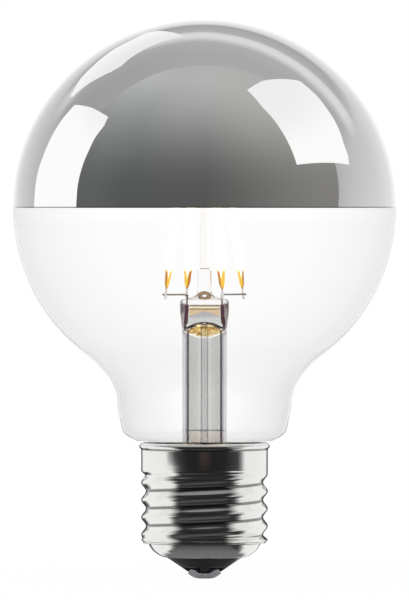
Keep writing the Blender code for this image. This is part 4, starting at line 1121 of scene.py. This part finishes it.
def window(name, corners, distance, strength):
    """A bright card, a little dimmer high up, that the crown mirrors with its corners at the given places."""
    finish = new_finish(name)
    *_, height = finish.place()
    dim = height.band(1.0, 1.65)
    points = [mirrored(across * MM, up * MM, distance) for across, up in corners]
    light = glow(finish, finish.mix(dim, (1.0, 1.0, 0.995), (0.89, 0.89, 0.886)), strength)
    return card(name, points, [tuple(range(len(points)))], light)


def make_windows():
    window("left_window", LEFT_WINDOW, 2.0, 1.03)
    window("right_window", RIGHT_WINDOW, 2.0, 1.03)
    window("upper_window", UPPER_WINDOW, 2.2, 0.98)


def mirrored(across, up, distance):
    """The studio point that the crown mirrors to the camera at a place of the picture.

    The place is across and up from the globe's middle, and the point lies at a distance from there.
    """
    eye = Vector((0.0, -CAMERA_DISTANCE, CAMERA_HEIGHT))
    middle = Vector((0.0, 0.0, EQUATOR_HEIGHT))
    ray = (middle + Vector((across, 0.0, up)) - eye).normalized()
    shrink = Matrix.Diagonal((1 / GLOBE_RADIUS, 1 / GLOBE_RADIUS, 1 / GLOBE_HALF_HEIGHT))
    start, step = shrink @ (eye - middle), shrink @ ray
    along = start.dot(step)
    root = math.sqrt(along**2 - step.dot(step) * (start.dot(start) - 1))
    hit = eye + ray * (-along - root) / step.dot(step)
    normal = (shrink @ shrink @ (hit - middle)).normalized()
    ahead = ray.reflect(normal)
    offset = hit - STUDIO_CENTRE
    along = offset.dot(ahead)
    return hit + ahead * (math.sqrt(along**2 - offset.dot(offset) + distance**2) - along)


# Corners of the windows in the crown, in mm across and up from the globe's middle
LEFT_WINDOW = [
    (-27.1, 21.4), (-23.5, 20.8), (-20.1, 18.9), (-21.0, 17.0), (-22.9, 14.5), (-24.1, 12.0),
    (-25.2, 9.5), (-26.0, 7.0), (-26.5, 4.5), (-26.7, 2.0), (-26.8, -1.6), (-35.6, -1.6),
    (-35.5, 2.0), (-35.2, 5.3), (-34.6, 8.2), (-33.7, 10.7), (-32.7, 13.2), (-31.4, 15.8),
    (-29.8, 18.3),
]
RIGHT_WINDOW = [
    (12.0, 26.4), (19.9, 26.4), (22.2, 24.5), (23.5, 23.3), (25.4, 20.8), (27.1, 18.3),
    (28.3, 15.8), (29.1, 13.2), (30.0, 10.7), (30.2, 8.9), (19.3, 8.9), (18.7, 10.7),
    (17.7, 13.2), (16.2, 15.8), (14.5, 18.3), (12.2, 20.8), (8.9, 24.5),
]
UPPER_WINDOW = [
    (-28.1, 23.1), (-27.3, 24.5), (-25.8, 27.0), (-23.3, 29.5), (-20.4, 32.0), (-18.5, 33.3),
    (-16.0, 34.6), (-14.1, 35.5), (-12.2, 36.4), (-10.3, 36.8), (-7.6, 36.7), (-4.3, 35.7),
    (-8.9, 34.6), (-12.0, 33.3), (-14.3, 32.0), (-16.0, 30.8), (-17.4, 29.5), (-19.5, 28.3),
    (-22.2, 27.0), (-24.3, 25.8), (-26.0, 24.5), (-27.5, 23.1),
]


def side_light(finish, x, y, smoke, shift=0.0):
    """Black towards the camera, white at the sides and dark behind, with smoky edges."""
    stops = [
        (0.0, 0.018), (0.2, 0.02), (0.28, 0.035), (0.33, 0.06), (0.365, 0.25),
        (0.388, 0.6), (0.415, 0.95), (0.77, 1.0), (0.82, 0.3), (0.86, 0.04),
    ]
    return finish.ramp(from_front(x, y) + 0.1 * (smoke - 0.5) + shift, stops)


def flag(name, light, inner, outer, turn_from=0.0, turn_to=1.0):
    """A ring of cards between two rings, each a (radius, height) or a function of the half turn's share."""
    points, faces = [], []
    for step in range(FLAG_SIDES):
        turns = [2 * ((step + k) / FLAG_SIDES) - 1 for k in (0, 1)]
        middle = abs(sum(turns) / 2)
        if not turn_from <= middle <= turn_to:
            continue
        for turn, ring in ((turns[0], inner), (turns[1], inner), (turns[1], outer), (turns[0], outer)):
            radius, height = ring(middle) if callable(ring) else ring
            points.append((radius * math.sin(turn * math.pi), -radius * math.cos(turn * math.pi), height))
        faces.append(tuple(range(len(points) - 4, len(points))))
    card(name, points, faces, light)


def make_collar():
    """Flags round the cap, upright, on the floor and over it."""
    collar_foot = (COLLAR_RADIUS, FLAG_HEIGHT)
    flag("cap_flag", cap_flag_light(), collar_foot, collar_top)
    flag("floor_flag", floor_flag_light(), (4.0 * MM, FLAG_HEIGHT), collar_foot)
    brim = ((BRIM_RADIUS, BRIM_HEIGHT), (COLLAR_RADIUS, BRIM_HEIGHT))
    flag("brim_flag", brim_flag_light(), *brim, turn_to=BRIM_TURN)
    behind = glow(new_finish("back_floor_flag"), 0.07)
    flag("back_floor_flag", behind, collar_foot, (110.0 * MM, FLAG_HEIGHT), turn_from=0.9)


def collar_top(turn):
    return COLLAR_RADIUS, COLLAR_TOP if turn < COLLAR_BACK_TURN else COLLAR_BACK_TOP


def cap_flag_light():
    """The upright flag: its dark is narrower at the thread's height, and brown in a streak over it."""
    finish = new_finish("cap_flag")
    vector, x, y, z = finish.place()
    to_left = x.band(5.0 * MM, -5.0 * MM) * (0.035 + 0.06 * z.band(23.4 * MM, 21.0 * MM))
    to_right = 0.13 * x.band(-5.0 * MM, 5.0 * MM) * z.band(19.5 * MM, 17.5 * MM)
    shift = (to_left + to_right) * y.band(20.0 * MM, -10.0 * MM)
    level = side_light(finish, x, y, finish.noise(vector, 30.0, 3.0), shift)
    streak = abs(x).band(17.0 * MM, 3.0 * MM) * z.band(19.0 * MM, 25.0 * MM)
    streak = streak * y.band(0.0, -10.0 * MM)
    return glow(finish, finish.mix(streak * 0.8, level, (0.06, 0.042, 0.038)))


def floor_flag_light():
    """The flag on the floor: grey near the cap, dark all round under the cone."""
    finish = new_finish("floor_flag")
    vector, x, y, _ = finish.place()
    radius = length(x, y)
    near = finish.ramp(radius / COLLAR_RADIUS, [(0.05, 0.2), (0.16, 0.17), (0.26, 0.07), (0.5, 0.02)])
    smoke = finish.noise(vector, 60.0, 3.0)
    turn = from_front(x, y) + 0.12 * radius.band(12.0 * MM, 15.0 * MM)
    front = (turn + 0.1 * (smoke - 0.5)).band(0.42, 0.34)
    front = front.maximum(radius.band(12.5 * MM, 9.5 * MM))
    shift = 0.08 * x.band(5.0 * MM, -5.0 * MM)
    return glow(finish, finish.mix(front, side_light(finish, x, y, smoke, shift), near))


def brim_flag_light():
    """The level flag over the thread, white towards the sides."""
    finish = new_finish("brim_flag")
    vector, x, y, _ = finish.place()
    level = finish.ramp(length(x, y) / COLLAR_RADIUS, [(0.2, 0.34), (0.238, 0.28), (0.26, 0.03), (1.0, 0.02)])
    turn = from_front(x, y) + 0.05 * x.band(-5.0 * MM, 5.0 * MM)
    turn = turn + 0.1 * (finish.noise(vector, 60.0, 3.0) - 0.5)
    return glow(finish, finish.mix(turn.band(0.25, 0.39), level, 0.9))


def make_floor():
    """The white floor, lifted to the background's white for the camera, with the lamp's soft shadow."""
    finish = new_finish("white_floor")
    white = finish.node("ShaderNodeBsdfDiffuse", inputs={"Color": rgba(0.97)})
    lit = finish.node("ShaderNodeEmission", inputs={"Color": rgba(1.0), "Strength": 1.0})
    seen = finish.node("ShaderNodeLightPath", output="Is Camera Ray") * FLOOR_LIFT
    finish.end(finish.node("ShaderNodeMixShader", inputs={0: seen, 1: white, 2: lit}))
    corners = [(-40, -40, 0), (40, -40, 0), (40, 40, 0), (-40, 40, 0)]
    stage_mesh("floor", corners, [(0, 1, 2, 3)], finish.owner)


def make_light():
    world = bpy.data.worlds.new("even_white")
    bpy.context.scene.world = world
    finish = Finish(world)
    seen = finish.node("ShaderNodeLightPath", output="Is Diffuse Ray")
    strength = 1.0 - 0.2 * seen
    background = finish.node("ShaderNodeBackground", inputs={"Color": rgba(1.0), "Strength": strength})
    finish.end(background)
    sun = bpy.data.lights.new("soft_key", "SUN")
    sun.angle = math.radians(60.0)
    sun.energy = 0.2 * math.pi / math.cos(math.radians(35.0))
    key = bpy.data.objects.new("soft_key", sun)
    key.rotation_euler = (math.radians(30.0), 0.0, math.radians(-40.0))
    key.visible_glossy = key.visible_transmission = False
    bpy.context.scene.collection.objects.link(key)


def make_camera():
    camera = bpy.data.cameras.new("camera")
    camera.sensor_width = 36.0
    camera.lens = camera.sensor_width * CAMERA_DISTANCE / VIEW_HEIGHT
    camera.shift_y = (VIEW_MIDDLE - CAMERA_HEIGHT) / VIEW_HEIGHT
    camera.clip_start = 0.05
    camera.clip_end = 200.0
    obj = bpy.data.objects.new("camera", camera)
    obj.location = (0.0, -CAMERA_DISTANCE, CAMERA_HEIGHT)
    obj.rotation_euler = (math.pi / 2, 0.0, 0.0)
    bpy.context.scene.collection.objects.link(obj)
    bpy.context.scene.camera = obj


def dress_frame():
    """Finishes of the CAD nodes that stay in sight, or inside the cap, by the start of their names."""
    copper_wires = ("contact_wire", "shell_wire", "choke_winding")
    chips = ("driver_chip", "bridge_rectifier")
    looks = [
        (("link_wire", "filament"), "nickel_wire_in_the_crown", (0.5, 0.48, 0.45), (0.68, 0.66, 0.62)),
        (("outer_lead",), "oxidised_outer_lead", (0.28, 0.26, 0.29), (0.44, 0.41, 0.45), 0.5, 0.3),
        (copper_wires, "tinned_copper_wire", (0.3, 0.2, 0.17), (0.5, 0.36, 0.3), 0.3),
    ]
    rules = [(starts, wire_finish(*look)) for starts, *look in looks]
    looks = [
        (chips, "black_resin", (0.012, 0.012, 0.012), (0.03, 0.03, 0.03), 900.0, 0.4),
        (("cap_cement",), "cap_cement", (0.4, 0.36, 0.3), (0.62, 0.57, 0.48), 500.0, 0.85),
        (("driver_board",), "circuit_board", (0.02, 0.12, 0.05), (0.04, 0.2, 0.08), 250.0, 0.45),
        (("smoothing",), "capacitor_sleeve", (0.015, 0.02, 0.06), (0.03, 0.04, 0.1), 300.0, 0.35),
        (("choke_core",), "ferrite", (0.04, 0.04, 0.043), (0.08, 0.08, 0.085), 1200.0, 0.6),
        (("fusible",), "resistor_coat", (0.06, 0.2, 0.25), (0.1, 0.3, 0.35), 400.0, 0.45),
    ]
    rules += [(starts, plain_finish(*look)) for starts, *look in looks]
    for name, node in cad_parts.items():
        for starts, finish in rules:
            if name.startswith(starts):
                node.data.materials.clear()
                node.data.materials.append(finish)


make_globe()
make_crown()
make_shell()
make_insulator()
make_contact()
make_stem()
make_exhaust_tube()
make_vent_lip()
LEAD_WIRE = wire_finish("nickel_lead_wire", (0.09, 0.075, 0.07), (0.5, 0.46, 0.44))
TAB_METAL = wire_finish("bright_tab_metal", (0.6, 0.58, 0.56), (0.85, 0.84, 0.82), 0.2)
SEAL_METAL = wire_finish("oxidised_seal_wire", (0.17, 0.05, 0.08), (0.34, 0.12, 0.16), 0.4, 0.3)
make_lead_in(-1, "left", 2, 1, LEAD_WIRE, SEAL_METAL)
make_lead_in(1, "right", 0, 3, LEAD_WIRE, SEAL_METAL)
for number, (strip_name, shaded_side) in enumerate((("right", 1), ("rear", 1), ("left", -1), ("front", -1))):
    make_filament(number, strip_name, shaded_side, TAB_METAL)
dress_frame()
make_studio()
make_windows()
make_collar()
make_floor()
make_light()
make_camera()

bpy.context.scene.view_settings.view_transform = "Standard"
